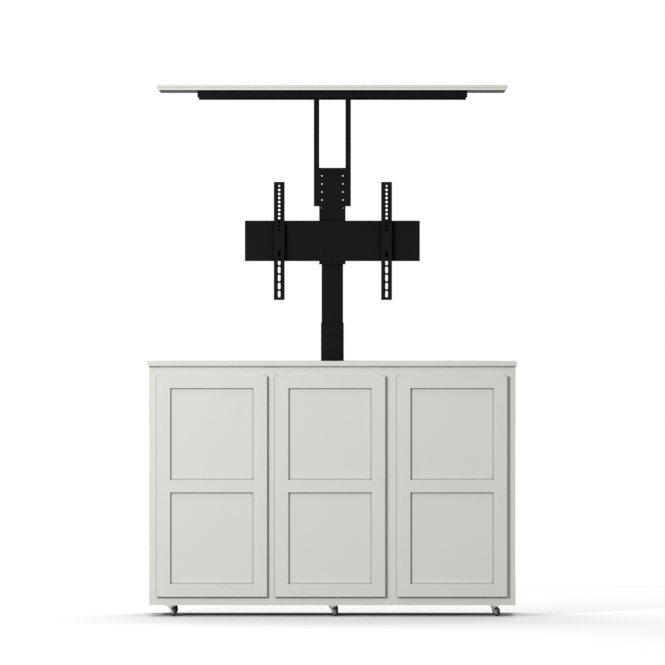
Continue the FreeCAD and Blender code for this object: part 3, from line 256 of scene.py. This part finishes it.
# ---- node trees ----
class Tree:
    """A material's nodes, added and joined in short calls."""

    def __init__(self, name, owner=None):
        self.material = owner or bpy.data.materials.new(name)
        self.material.use_nodes = True
        self.nodes = self.material.node_tree.nodes
        self.links = self.material.node_tree.links
        self.shader = self.nodes.get("Principled BSDF")
        self.place = self.add("ShaderNodeTexCoord").outputs["Object"]

    def add(self, kind, **values):
        node = self.nodes.new(kind)
        for key, value in values.items():
            setattr(node, key, value)
        return node

    def join(self, output, target):
        self.links.new(output, target)

    def noise(self, scale, detail, stretch=(1, 1, 1)):
        mapping = self.add("ShaderNodeMapping")
        mapping.inputs["Scale"].default_value = stretch
        self.join(self.place, mapping.inputs["Vector"])
        node = self.add("ShaderNodeTexNoise")
        node.inputs["Scale"].default_value = scale
        node.inputs["Detail"].default_value = detail
        node.inputs["Roughness"].default_value = NOISE_ROUGHNESS
        self.join(mapping.outputs["Vector"], node.inputs["Vector"])
        return node.outputs["Fac"]

    def height(self, vector):
        """A vector's Z."""
        parts = self.add("ShaderNodeSeparateXYZ")
        self.join(vector, parts.inputs[0])
        return parts.outputs["Z"]

    def remap(self, value, low, high, start=0.0, end=1.0):
        node = self.add("ShaderNodeMapRange")
        node.inputs["From Min"].default_value = start
        node.inputs["From Max"].default_value = end
        for socket, limit in (("To Min", low), ("To Max", high)):
            if isinstance(limit, float):
                node.inputs[socket].default_value = limit
            else:
                self.join(limit, node.inputs[socket])
        self.join(value, node.inputs["Value"])
        return node.outputs["Result"]

    def blend(self, factor, first, second):
        node = self.add("ShaderNodeMix", data_type="RGBA")
        self.join(factor, node.inputs["Factor"])
        for socket, colour in ((node.inputs[6], first), (node.inputs[7], second)):
            if isinstance(colour, tuple):
                socket.default_value = (*colour, 1.0)
            else:
                self.join(colour, socket)
        return node.outputs[2]

    def shade_corners(self, colour, tone, reach, span, share=1.0):
        """Paints shade: blends towards a dark tone in inner corners closer than reach metres."""
        node = self.add("ShaderNodeAmbientOcclusion", samples=CORNER_SAMPLES)
        node.inputs["Distance"].default_value = reach
        corner = self.remap(node.outputs["AO"], share, 0.0, *span)
        return self.blend(corner, colour, linear(*tone))

    def bump(self, height, strength, distance, under=None):
        node = self.add("ShaderNodeBump")
        node.inputs["Strength"].default_value = strength
        node.inputs["Distance"].default_value = distance
        self.join(height, node.inputs["Height"])
        if under is not None:
            self.join(under, node.inputs["Normal"])
        return node.outputs["Normal"]

    def set(self, **values):
        for key, value in values.items():
            socket = self.shader.inputs[key.replace("_", " ")]
            if isinstance(value, (int, float, tuple)):
                socket.default_value = value
            else:
                self.join(value, socket)
        return self.material


def linear(red, green, blue):
    """A colour written in 0-255 display values, as the linear values that shaders take."""
    def one(value):
        value /= 255
        return value / 12.92 if value <= 0.04045 else ((value + 0.055) / 1.055) ** 2.4

    return one(red), one(green), one(blue)


# ---- finishes ----
def mottled_white(name, white):
    """A new tree, and its colour: white with a faint mottle."""
    tree = Tree(name)
    paler = [value + MOTTLE for value in white]
    return tree, tree.blend(tree.noise(scale=3.0, detail=4.0), linear(*white), linear(*paler))


def sprayed(tree, colour, specular):
    """Satin paint of a colour, with fine orange peel and a slight unevenness in its gloss."""
    orange_peel = tree.noise(scale=420.0, detail=2.0)
    fine = tree.bump(orange_peel, strength=0.12, distance=0.0004)
    waves = tree.noise(scale=26.0, detail=2.0)
    normal = tree.bump(waves, strength=0.05, distance=0.002, under=fine)
    gloss = tree.remap(tree.noise(scale=9.0, detail=3.0), low=0.52, high=0.62)
    return tree.set(Base_Color=colour, Roughness=gloss, Normal=normal, Specular_IOR_Level=specular)


def board_paint_with_corner_shade(name="painted_board", shade_share=1.0):
    # white satin paint with painted shade: a thin dark line painted into inner corners
    tree, colour = mottled_white(name, WHITE)
    if shade_share:
        colour = tree.shade_corners(colour, CORNER_SHADE, CORNER_SHADE_REACH, CORNER_SHADE_RANGE, shade_share)
    return sprayed(tree, colour, PAINT_SPECULAR)


def lid_paint_light_and_shade():
    # painted light and shade: the lid's lower layer is painted paler as a highlight, its downward
    # faces darker and its inner corners darker as painted shade
    tree, colour = mottled_white("lid_paint_light_and_shade", LID_WHITE)
    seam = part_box("lid_board")[1][2] - LID_TOP_LAYER
    place = tree.height(tree.place)
    below = tree.remap(place, 1.0, 0.0, seam - LAYER_BLUR, seam + LAYER_BLUR)
    colour = tree.blend(below, colour, linear(*LID_LOWER_PAINTED_LIGHT))
    facing = tree.height(tree.add("ShaderNodeTexCoord").outputs["Normal"])
    painted_underside_shade = tree.remap(facing, 1.0, 0.0, *FACING_DOWN)
    colour = tree.blend(painted_underside_shade, colour, linear(*LID_UNDER_PAINTED_SHADE))
    colour = tree.shade_corners(colour, LID_CORNER_SHADE, LID_CORNER_SHADE_REACH, CORNER_SHADE_RANGE)
    return sprayed(tree, colour, LID_SPECULAR)


def powder_coat_corner_shade():
    # matt black powder coat with its fine grain, and painted shade in inner corners
    tree = Tree("powder_coat_corner_shade")
    cloud = tree.noise(scale=14.0, detail=3.0)
    colour = tree.blend(cloud, linear(*STEEL), linear(*STEEL_CLOUD))
    colour = tree.shade_corners(colour, STEEL_CORNER_SHADE, STEEL_CORNER_SHADE_REACH, STEEL_CORNER_SHADE_RANGE)
    grain = tree.noise(scale=900.0, detail=2.0)
    normal = tree.bump(grain, strength=0.15, distance=0.0003)
    gloss = tree.remap(tree.noise(scale=40.0, detail=3.0), low=0.5, high=0.62)
    return tree.set(
        Base_Color=colour, Roughness=gloss, Normal=normal, Specular_IOR_Level=STEEL_SPECULAR
    )


def clouded(name, cloud, tones, gloss, grain=None, strength=0.0, distance=0.0, **shader):
    """A finish of two clouded tones over a fine grain.

    Cloud and grain are a noise's scale, detail and stretch. Gloss is the roughness at the cloud's
    two ends, or one value. Strength and distance are the grain's bump.
    """
    tree = Tree(name)
    shade = tree.noise(*cloud)
    dark, light = tones
    shader["Base_Color"] = tree.blend(shade, linear(*dark), linear(*light))
    shader["Roughness"] = gloss if isinstance(gloss, float) else tree.remap(shade, *gloss)
    if grain:
        shader["Normal"] = tree.bump(tree.noise(*grain), strength, distance)
    return tree.set(**shader)


FINISHES = {
    "painted_board": board_paint_with_corner_shade(),
    "black_steel": powder_coat_corner_shade(),
    # bright zinc: soft spangle, fine rolling lines, a trace of dulling
    "zinc_steel": clouded(
        "zinc_plate", cloud=(160.0, 4.0), tones=((222, 223, 225), (240, 241, 242)),
        gloss=(0.2, 0.38), grain=(260.0, 2.0, (1, 1, 0.08)), strength=0.12, distance=0.0002,
        Metallic=1.0,
    ),
    # moulded black plastic with a spark-eroded grain
    "black_plastic": clouded(
        "black_plastic", cloud=(60.0, 3.0), tones=((14, 14, 15), (20, 20, 21)),
        gloss=(0.45, 0.6), grain=(1400.0, 2.0), strength=0.25, distance=0.0002,
        Specular_IOR_Level=0.04,
    ),
    # shot-blasted aluminium casting
    "cast_housing": clouded(
        "cast_housing", cloud=(120.0, 5.0), tones=((140, 142, 145), (176, 178, 180)),
        gloss=(0.42, 0.6), grain=(520.0, 3.0), strength=0.4, distance=0.0004, Metallic=0.85,
    ),
    # turned bronze, a little tarnished
    "bronze": clouded(
        "bronze", cloud=(140.0, 4.0), tones=((170, 128, 70), (206, 164, 98)),
        gloss=(0.25, 0.45), grain=(300.0, 2.0, (0.1, 0.1, 3)), strength=0.15, distance=0.0002,
        Metallic=1.0,
    ),
    # soft black rubber of the pads
    "pad_rubber": clouded(
        "pad_rubber", cloud=(500.0, 3.0), tones=((30, 30, 30), (46, 46, 46)),
        gloss=0.85, grain=(500.0, 3.0), strength=0.3, distance=0.0003,
    ),
    # black rubber, a little dusty
    "tyre": clouded(
        "tyre_rubber", cloud=(240.0, 4.0), tones=((20, 20, 20), (44, 43, 41)),
        gloss=(0.6, 0.85), grain=(1100.0, 2.0), strength=0.35, distance=0.0003,
    ),
}
# light grey moulded nylon
HUB_FINISH = clouded(
    "hub_plastic", cloud=(220.0, 3.0), tones=((150, 150, 149), (172, 172, 170)),
    gloss=(0.42, 0.55), grain=(1300.0, 2.0), strength=0.2, distance=0.0002,
)
# small green lens of a pilot lamp, unlit
LENS_FINISH = clouded(
    "lamp_lens", cloud=(700.0, 2.0), tones=((46, 120, 62), (66, 150, 82)), gloss=(0.12, 0.25)
)
# the lid, rails and stiles take their own paints: the rails without painted corner shade, the
# stiles with part of it
NODE_FINISHES = {
    "lid_board": lid_paint_light_and_shade(),
    "face_frame_rails": board_paint_with_corner_shade("rail_paint", shade_share=0.0),
    "face_frame_stiles": board_paint_with_corner_shade("stile_paint_corner_shade", shade_share=STILE_CORNER_SHADE),
}


def dress_nodes():
    for row in frame["record"]["subparts"]:
        node = frame["nodes"][row["node"]]
        finish = NODE_FINISHES.get(row["node"], FINISHES[row["material_slot"]])
        node.data.materials.clear()
        node.data.materials.append(finish)


# ---- mesh building ----
def outline_radius(shape, radius, angle):
    """How far a ring reaches at an angle: round, hexagon (across flats) or cross recess."""
    if shape == "hexagon":
        return radius / math.cos((angle + math.pi / 6) % (math.pi / 3) - math.pi / 6)
    if shape == "cross":
        off_arm = (angle + math.pi / 4) % (math.pi / 2) - math.pi / 4
        side = abs(math.sin(off_arm))
        reach = radius / math.cos(off_arm)
        return min(reach, CROSS_ARM * radius / side) if side > 0 else reach
    return radius


def add_turned(mesh, rings, place, closed=False):
    """Adds a turned solid: rings are (shape, distance along the axis, radius), end to end."""
    loops = []
    for shape, along, radius in rings:
        loop = []
        for step in range(TURN_STEPS):
            angle = 2 * math.pi * step / TURN_STEPS
            reach = outline_radius(shape, radius, angle)
            point = Vector((reach * math.cos(angle), reach * math.sin(angle), along))
            loop.append(mesh.verts.new(place @ (point * MM)))
        loops.append(loop)
    pairs = list(zip(loops[:-1], loops[1:]))
    if closed:
        pairs.append((loops[-1], loops[0]))
    else:
        mesh.faces.new(reversed(loops[0]))
        mesh.faces.new(loops[-1])
    for below, above in pairs:
        for step in range(TURN_STEPS):
            after = (step + 1) % TURN_STEPS
            mesh.faces.new((below[step], below[after], above[after], above[step]))


def add_block(mesh, low, high, bevel, place=Matrix.Identity(4)):
    """Adds a block between two corners, in millimetres, with rounded edges."""
    centre = (Vector(low) + Vector(high)) / 2 * MM
    size = (Vector(high) - Vector(low)) * MM
    stretch = Matrix.Translation(centre) @ Matrix.Diagonal((*size, 1))
    made = bmesh.ops.create_cube(mesh, size=1, matrix=place @ stretch)
    edges = dict.fromkeys(edge for vertex in made["verts"] for edge in vertex.link_edges)
    bmesh.ops.bevel(
        mesh, geom=list(edges), offset=bevel * MM, segments=BEVEL_STEPS, affect="EDGES",
        profile=0.5,
    )


def placed(centre, axis):
    """The matrix that puts a turned solid's own Z axis along axis, from centre."""
    turn = Vector(axis).to_track_quat("Z", "Y").to_matrix().to_4x4()
    return Matrix.Translation(centre) @ turn


def round_rings(section):
    """Round rings from (distance along the axis, radius) pairs."""
    return [("round", along, radius) for along, radius in section]


def mirrored(side):
    """A section's one side and its mirror image, end to end."""
    return side + [(-along, radius) for along, radius in reversed(side)]


def rounded_end(along, radius, corner):
    """Three rings that round the edge where a round side meets the end face at along."""
    rings = []
    for share in (0, 0.5, 1):
        angle = share * math.pi / 2
        ahead = corner * math.sin(angle)
        inward = corner * (1 - math.cos(angle))
        rings.append(("round", along - (corner - ahead), radius - inward))
    return rings


def add_piece(name, mesh, finish, body):
    bmesh.ops.recalc_face_normals(mesh, faces=mesh.faces)
    data = bpy.data.meshes.new(name)
    mesh.to_mesh(data)
    mesh.free()
    data.shade_smooth()
    data.set_sharp_from_angle(angle=math.radians(SHARP_ANGLE))
    data.materials.append(finish)
    piece = bpy.data.objects.new(name, data)
    bpy.context.scene.collection.objects.link(piece)
    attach(piece, body)
    return piece


def add_fitting(name, mesh, slot, body="cabinet"):
    """Adds a piece in the finish of a material slot."""
    return add_piece(name, mesh, FINISHES[slot], body)


def box_in_mm(node):
    """A node's lowest and highest corners, in millimetres."""
    return [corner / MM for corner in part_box(node)]


def box_of(points):
    """The lowest and highest corners of some points, in metres."""
    low = Vector(min(point[k] for point in points) for k in range(3))
    high = Vector(max(point[k] for point in points) for k in range(3))
    return low, high


# ---- fasteners: each CAD solid is read for its axis and steps, then made with its drive ----
def solids_of(node):
    """The point lists of a node's separate solids."""
    mesh = bmesh.new()
    mesh.from_mesh(frame["nodes"][node].data)
    bmesh.ops.remove_doubles(mesh, verts=mesh.verts, dist=MERGED_WITHIN * MM)
    seen = set()
    solids = []
    for first in mesh.verts:
        if first in seen:
            continue
        seen.add(first)
        front = [first]
        found = [first]
        while front:
            vertex = front.pop()
            for edge in vertex.link_edges:
                other = edge.other_vert(vertex)
                if other not in seen:
                    seen.add(other)
                    front.append(other)
                    found.append(other)
        solids.append([vertex.co.copy() for vertex in found])
    mesh.free()
    return solids


def fastener_steps(points):
    """Start, direction and (distance, radius) steps of a fastener, from shank end to head."""
    low, high = box_of(points)
    size = high - low
    along = max(range(3), key=lambda k: min(abs(size[k] - size[j]) for j in range(3) if j != k))
    centre = (low + high) / 2
    levels = {}
    for point in points:
        level = round((point[along] - low[along]) / MM, 2)
        offset = point - centre
        offset[along] = 0
        levels.setdefault(level, set()).add(round(offset.length / MM, 1))
    direction = Vector((0, 0, 0))
    head_first = max(levels[min(levels)]) > max(levels[max(levels)])
    direction[along] = -1 if head_first else 1
    start = centre.copy()
    start[along] = high[along] if head_first else low[along]
    length = size[along] / MM
    steps = []
    for level in sorted(levels, reverse=head_first):
        distance = length - level if head_first else level
        reached = sorted(levels[level])
        steps += [(distance, radius) for radius in (reached[0], reached[-1])]
    return start, direction, steps


def socket_head(steps):
    # cap or countersunk head with a hexagon socket
    length, radius = steps[-1]
    depth = SOCKET_DEPTH * (length - steps[-3][0])
    rings = round_rings(steps[:-2]) + rounded_end(length, radius, SOCKET_HEAD_ROUND)
    socket = SOCKET_SHARE * radius
    return rings + [("hexagon", length, socket), ("hexagon", length - depth, socket)]


def hexagon_head(steps):
    # hexagon head on a washer
    length, radius = steps[-1]
    washer_top = steps[-3][0] + WASHER_HEIGHT
    flats = HEX_HEAD_SHARE * radius
    return round_rings(steps[:-2]) + [
        ("round", washer_top, radius), ("hexagon", washer_top, flats),
        ("hexagon", length - HEX_CHAMFER, flats), ("round", length, HEX_CROWN * flats),
    ]


def cross_head(steps):
    # pan head with a cross recess
    length, radius = steps[-1]
    height = length - steps[-3][0]
    rings = round_rings(steps[:-2]) + rounded_end(length, radius, PAN_ROUND * height)
    recess = CROSS_SHARE * radius
    foot = length - CROSS_DEPTH * height
    return rings + [("cross", length, recess), ("cross", foot, CROSS_TAPER * recess)]


def make_fasteners(node, drive):
    row = next(row for row in frame["record"]["subparts"] if row["node"] == node)
    mesh = bmesh.new()
    for points in solids_of(node):
        start, direction, steps = fastener_steps(points)
        add_turned(mesh, drive(steps), placed(start, direction))
    body = frame["nodes"][node]["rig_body"]
    piece = add_fitting(f"{node}_driven", mesh, row["material_slot"], body)
    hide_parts(node)


def add_screw(mesh, place, axis, screw, drive=cross_head):
    """A screw's head that stands on a face: place in metres, screw as (radius, height)."""
    radius, height = screw
    steps = [(-SUNK, radius), (-SUNK, radius), (height, radius), (height, radius)]
    add_turned(mesh, drive(steps), placed(place, axis))


# ---- casters ----
def tyre_section(half, radius):
    """The tyre's closed section, from the hub's seat over one side wall, the tread and back."""
    seat = HUB_RADIUS + TYRE_SEAT_GAP
    wall = [(half - inward, seat + outward) for inward, outward in TYRE_WALL]
    shoulder = []
    for step in range(SHOULDER_STEPS + 1):
        angle = math.pi / 2 * step / SHOULDER_STEPS
        along = half - TYRE_SHOULDER * (1 - math.cos(angle))
        shoulder.append((along, radius - TYRE_SHOULDER * (1 - math.sin(angle))))
    groove = [(TREAD_GROOVE_TOP, radius), (TREAD_GROOVE_FOOT, radius - TYRE_GROOVE)]
    return round_rings(mirrored(wall + shoulder + groove))


def hub_section(half):
    """The hub's closed section: bore, boss, dished web and rim, mirrored."""
    return round_rings(mirrored([(half - inward, radius) for inward, radius in HUB_FACE]))


def make_wheel(number, centre, axis):
    node = f"caster_wheel_{number}"
    low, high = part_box(node)
    place = placed(centre, axis)
    radius = (high.z - low.z) / 2 / MM
    across = (high.x - low.x) / MM
    # the box of a disc turned about Z: across = 2 half lean + 2 radius sqrt(1 - lean^2)
    lean = abs(axis[0]) / math.hypot(axis[0], axis[1])
    half = (across - 2 * radius * math.sqrt(1 - lean * lean)) / lean / 2
    tyre = bmesh.new()
    add_turned(tyre, tyre_section(half, radius), place, closed=True)
    tyre_piece = add_fitting(f"{node}_tyre", tyre, "tyre", f"wheel_{number}")
    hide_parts(node)
    hub = bmesh.new()
    add_turned(hub, hub_section(half), place, closed=True)
    web = half - HUB_DISH - SUNK
    face = half - SPOKE_BELOW_FACE
    for step in range(HUB_SPOKES):
        turn = Matrix.Rotation(2 * math.pi * step / HUB_SPOKES, 4, "Z")
        for near, far in ((web, face), (-face, -web)):
            add_block(
                hub, (HUB_BOSS - SPOKE_IN_BOSS, -SPOKE_WIDTH / 2, near),
                (HUB_RIM + SUNK, SPOKE_WIDTH / 2, far), SPOKE_BEVEL, place @ turn,
            )
    hub_piece = add_piece(f"{node}_hub", hub, HUB_FINISH, f"wheel_{number}")
    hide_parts(node)


def make_rivets(number, centre, axis):
    """A domed head on each end of the fork's axle."""
    fork = frame["nodes"][f"caster_fork_{number}"].data
    end = max(abs((vertex.co - centre).dot(Vector(axis))) for vertex in fork.vertices) / MM
    mesh = bmesh.new()
    for side in (-1, 1):
        direction = Vector(axis) * side
        foot = centre + direction * (end - RIVET_HEIGHT * RIVET_SUNK_SHARE) * MM
        dome = [(rise * RIVET_HEIGHT, reach * RIVET_RADIUS) for rise, reach in RIVET_DOME]
        add_turned(mesh, round_rings(dome), placed(foot, direction))
    add_fitting(f"caster_rivets_{number}", mesh, "zinc_steel", f"swivel_{number}")


def make_casters():
    for joint in frame["joints"]:
        if joint["name"].startswith("caster_roll_"):
            number = int(joint["name"].rsplit("_", 1)[1])
            low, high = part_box(f"caster_wheel_{number}")
            centre = (low + high) / 2
            make_wheel(number, centre, joint["axis"])
            make_rivets(number, centre, joint["axis"])


# ---- drive: motor, gearbox cover, control box ----
def motor_section(length, radius):
    """The motor from its flange over the ribbed can to its end bell."""
    can = radius - MOTOR_CAN_INSET
    section = [
        (0.0, radius), (MOTOR_FLANGE, radius), (MOTOR_FLANGE + MOTOR_FLANGE_CHAMFER, can),
        (MOTOR_RIBS_FROM - MOTOR_RIBS_LEAD, can),
    ]
    for rib in range(MOTOR_RIBS):
        start = MOTOR_RIBS_FROM + rib * MOTOR_RIB_PITCH
        section += [(start + along, radius - inward) for along, inward in MOTOR_RIB]
    can_end = length - BELL_LENGTH
    bell = radius - BELL_INSET
    rings = round_rings(section) + rounded_end(can_end, radius, CAN_ROUND)
    return rings + [("round", can_end, bell)] + rounded_end(length, bell, BELL_ROUND)


def make_motor():
    low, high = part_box("lift_motor")
    middle = (low + high) / 2
    radius = (high.z - low.z) / 2 / MM
    length = (high.x - low.x) / MM
    mesh = bmesh.new()
    flange = Vector((high.x, middle.y, middle.z))
    add_turned(mesh, motor_section(length, radius), placed(flange, (-1, 0, 0)))
    piece = add_fitting("lift_motor_ribbed", mesh, "black_steel")
    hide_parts("lift_motor")
    screws = bmesh.new()
    end = Vector((low.x, middle.y, middle.z))
    for step in range(MOTOR_SCREWS):
        angle = math.radians(90 + 360 / MOTOR_SCREWS * step)
        offset = Vector((0, math.cos(angle), math.sin(angle))) * (radius - MOTOR_SCREW_INSET) * MM
        add_screw(screws, end + offset, (-1, 0, 0), MOTOR_SCREW, socket_head)
    add_fitting("motor_screws", screws, "zinc_steel")


def make_gearbox_cover():
    low, high = box_in_mm("gearbox")
    outside = low.y - COVER_THICKNESS
    mesh = bmesh.new()
    add_block(
        mesh, (low.x + COVER_INSET, outside, low.z + COVER_INSET),
        (high.x - COVER_INSET, low.y + COVER_SUNK, high.z - COVER_INSET), COVER_BEVEL,
    )
    add_fitting("gearbox_cover", mesh, "cast_housing")
    screws = bmesh.new()
    for x in (low.x + COVER_SCREW_INSET, high.x - COVER_SCREW_INSET):
        for z in (low.z + COVER_SCREW_INSET, high.z - COVER_SCREW_INSET):
            place = Vector((x, outside, z)) * MM
            add_screw(screws, place, (0, -1, 0), COVER_SCREW, socket_head)
    add_fitting("gearbox_cover_screws", screws, "zinc_steel")


def make_control_box_trim():
    low, high = box_in_mm("control_box")
    middle = (low.x + high.x) / 2
    mesh = bmesh.new()
    for rib in range(VENT_RIBS):
        x = middle + (rib - (VENT_RIBS - 1) / 2) * VENT_PITCH
        add_block(
            mesh, (x - VENT_WIDTH / 2, low.y + VENT_FROM_FRONT, high.z - VENT_SUNK),
            (x + VENT_WIDTH / 2, high.y - VENT_FROM_BACK, high.z + VENT_HEIGHT), VENT_BEVEL,
        )
    ear_front = low.y + EAR_FROM_FRONT
    ear_top = low.z + EAR_THICKNESS
    for side, edge in ((-1, low.x), (1, high.x)):
        near, far = sorted((edge - side * EAR_SUNK, edge + side * EAR_LENGTH))
        add_block(
            mesh, (near, ear_front, low.z + EAR_LIFT), (far, ear_front + EAR_WIDTH, ear_top),
            EAR_BEVEL,
        )
    add_fitting("control_box_trim", mesh, "black_plastic")
    screws = bmesh.new()
    for x in (low.x - EAR_LENGTH / 2, high.x + EAR_LENGTH / 2):
        place = Vector((x, ear_front + EAR_WIDTH / 2, ear_top)) * MM
        add_screw(screws, place, (0, 0, 1), EAR_SCREW)
    add_fitting("control_box_screws", screws, "zinc_steel")
    lens = bmesh.new()
    place = Vector((high.x - LAMP_FROM_SIDE, low.y, high.z - LAMP_FROM_TOP)) * MM
    rings = [("round", -LAMP_SUNK, LAMP_RADIUS)]
    rings += rounded_end(LAMP_HEIGHT, LAMP_RADIUS, LAMP_ROUND)
    add_turned(lens, rings, placed(place, (0, -1, 0)))
    add_piece("pilot_lamp", lens, LENS_FINISH, "cabinet")


def make_cable_glands():
    """A collar at each end of the motor cable, where it meets the gearbox and the control box."""
    points = [vertex.co for vertex in frame["nodes"]["motor_cable"].data.vertices]
    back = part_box("gearbox")[1].y
    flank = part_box("control_box")[0].x
    near = ON_FACE * MM
    inner = CABLE_RADIUS + GLAND_PLAY
    collar_end = GLAND_COLLAR_SHARE * GLAND_LENGTH
    section = [
        (-SUNK, inner), (GLAND_LENGTH, inner), (GLAND_LENGTH, inner + GLAND_TIP),
        (collar_end, inner + GLAND_NECK), (collar_end, inner + GLAND_COLLAR),
        (-SUNK, inner + GLAND_COLLAR),
    ]
    ends = [
        ("gearbox_gland", [p for p in points if abs(p.y - back) < near], (0, 1, 0)),
        ("control_box_gland", [p for p in points if abs(p.x - flank) < near], (-1, 0, 0)),
    ]
    for name, rim, axis in ends:
        centre = sum(rim, Vector()) / len(rim)
        mesh = bmesh.new()
        add_turned(mesh, round_rings(section), placed(centre, axis), closed=True)
        add_fitting(name, mesh, "black_plastic")


# ---- carcass fittings ----
def make_back_screws():
    low, high = box_in_mm("back_panel")
    mesh = bmesh.new()
    for step in range(BACK_SCREWS):
        x = low.x + (high.x - low.x) * (step + 0.5) / BACK_SCREWS
        place = Vector((x, high.y, high.z - BACK_SCREW_DROP)) * MM
        add_screw(mesh, place, (0, 1, 0), BACK_SCREW)
    add_fitting("back_panel_screws", mesh, "zinc_steel")


def make_door_bumpers():
    """Two soft pads on the frame behind each door's free corners."""
    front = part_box("face_frame_stiles")[0].y / MM
    rings = [("round", -SUNK, BUMPER_RADIUS)]
    rings += rounded_end(BUMPER_HEIGHT, BUMPER_RADIUS, BUMPER_ROUND)
    for door, hung in HUNG_ON.items():
        low, high = box_in_mm(f"door_{door}_frame")
        free_x = low.x + BUMPER_INSET if hung > 0 else high.x - BUMPER_INSET
        mesh = bmesh.new()
        for z in (low.z + BUMPER_INSET, high.z - BUMPER_INSET):
            add_turned(mesh, rings, placed(Vector((free_x, front, z)) * MM, (0, -1, 0)))
        add_fitting(f"door_{door}_bumpers", mesh, "pad_rubber")


def make_catch_poles():
    """The two steel pole plates in each magnet catch's face."""
    mesh = bmesh.new()
    for points in solids_of("magnet_catches"):
        low, high = (corner / MM for corner in box_of(points))
        middle = (low.x + high.x) / 2
        for side in (-1, 1):
            x = middle + side * (high.x - low.x) / 4
            add_block(
                mesh, (x - POLE_WIDTH / 2, low.y - POLE_PROUD, low.z + POLE_FROM_END),
                (x + POLE_WIDTH / 2, low.y + POLE_DEPTH, high.z - POLE_FROM_END), POLE_BEVEL,
            )
    add_fitting("catch_poles", mesh, "zinc_steel")


def make_hinge_screws():
    """Two screws through the part of each hinge leaf that lies on the stile's inner face."""
    mesh = bmesh.new()
    for points in solids_of("hinge_leaves"):
        low, high = box_of(points)
        middle = (low + high) / 2
        deepest = [point for point in points if point.y > high.y - HINGE_BACK_EDGE * MM]
        inner = sum(point.x for point in deepest) / len(deepest)
        side = 1 if inner > middle.x else -1
        face = max(deepest, key=lambda point: side * point.x).x
        y = high.y - HINGE_SCREW_FROM_BACK * MM
        for step in (-1, 1):
            place = Vector((face, y, middle.z + step * HINGE_SCREW_SPREAD * MM))
            add_screw(mesh, place, (side, 0, 0), HINGE_SCREW)
    add_fitting("hinge_screws", mesh, "zinc_steel")


# ---- stage ----
def either(tree, first, second):
    """The larger of two values: 1 if one of them is 1."""
    node = tree.add("ShaderNodeMath", operation="MAXIMUM")
    tree.join(first, node.inputs[0])
    tree.join(second, node.inputs[1])
    return node.outputs[0]


def seen_directly(tree):
    """1 for what the camera, mirrors and glass see, 0 for the light that the scene bounces."""
    path = tree.add("ShaderNodeLightPath")
    seen = either(tree, path.outputs["Is Camera Ray"], path.outputs["Is Glossy Ray"])
    return either(tree, seen, path.outputs["Is Transmission Ray"])


def make_floor():
    mesh = bpy.data.meshes.new("floor")
    corners = [
        (FLOOR_HALF * x, FLOOR_HALF * y, 0) for x, y in ((-1, -1), (1, -1), (1, 1), (-1, 1))
    ]
    mesh.from_pydata(corners, [], [(0, 1, 2, 3)])
    floor = bpy.data.objects.new("floor", mesh)
    bpy.context.scene.collection.objects.link(floor)
    tree = Tree("floor_white")
    path = tree.add("ShaderNodeLightPath")
    radius = tree.add("ShaderNodeVectorMath", operation="LENGTH")
    tree.join(tree.place, radius.inputs[0])
    far = radius.outputs["Value"]
    reach = (LAMPS_REACH, UNLIT_FROM)
    mirror_level = tree.remap(far, FLOOR_MIRRORED, UNLIT_GAIN * FLOOR_MIRRORED, *reach)
    seen_level = tree.remap(far, FLOOR_SEEN, UNLIT_GAIN * FLOOR_SEEN, *reach)
    mirrored_level = tree.remap(seen_directly(tree), FLOOR_BOUNCE, mirror_level)
    level = tree.remap(path.outputs["Is Camera Ray"], mirrored_level, seen_level)
    paper = tree.add("ShaderNodeBsdfDiffuse")
    tree.join(level, paper.inputs["Color"])
    tree.join(paper.outputs[0], tree.nodes["Material Output"].inputs["Surface"])
    mesh.materials.append(tree.material)


def make_world():
    world = bpy.data.worlds.new("studio")
    bpy.context.scene.world = world
    tree = Tree("studio", world)
    back = tree.nodes["Background"]
    level = tree.remap(seen_directly(tree), WORLD_LEVEL, 1.0)
    tree.join(level, back.inputs["Strength"])
    back.inputs["Color"].default_value = (1, 1, 1, 1)


def make_lamps():
    for name, place, target, width, depth, watts in LAMPS:
        data = bpy.data.lights.new(name, "AREA")
        data.shape = "RECTANGLE"
        data.size = width
        data.size_y = depth
        data.energy = watts
        lamp = bpy.data.objects.new(name, data)
        lamp.location = place
        aim = Vector(target) - Vector(place)
        lamp.rotation_euler = aim.to_track_quat("-Z", "Y").to_euler()
        bpy.context.scene.collection.objects.link(lamp)


def make_camera():
    data = bpy.data.cameras.new("camera")
    data.sensor_width = SENSOR_WIDTH
    data.lens = PIXELS_PER_METRE * CAMERA_DISTANCE * SENSOR_WIDTH / PICTURE_WIDTH
    data.clip_end = SEEN_TO
    camera = bpy.data.objects.new("camera", data)
    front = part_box("door_left_frame")[0].y
    camera.location = (CAMERA_X, front - CAMERA_DISTANCE, CAMERA_HEIGHT)
    camera.rotation_euler = (math.radians(90), 0, 0)
    bpy.context.scene.collection.objects.link(camera)
    bpy.context.scene.camera = camera


make_camera()
dress_nodes()
make_casters()
make_fasteners("carriage_bolts", socket_head)
make_fasteners("base_bolts", hexagon_head)
make_fasteners("lid_screws", cross_head)
make_fasteners("caster_screws", cross_head)
make_motor()
make_gearbox_cover()
make_control_box_trim()
make_cable_glands()
make_back_screws()
make_door_bumpers()
make_catch_poles()
make_hinge_screws()
make_world()
make_floor()
make_lamps()
bpy.context.scene.view_settings.view_transform = "Standard"
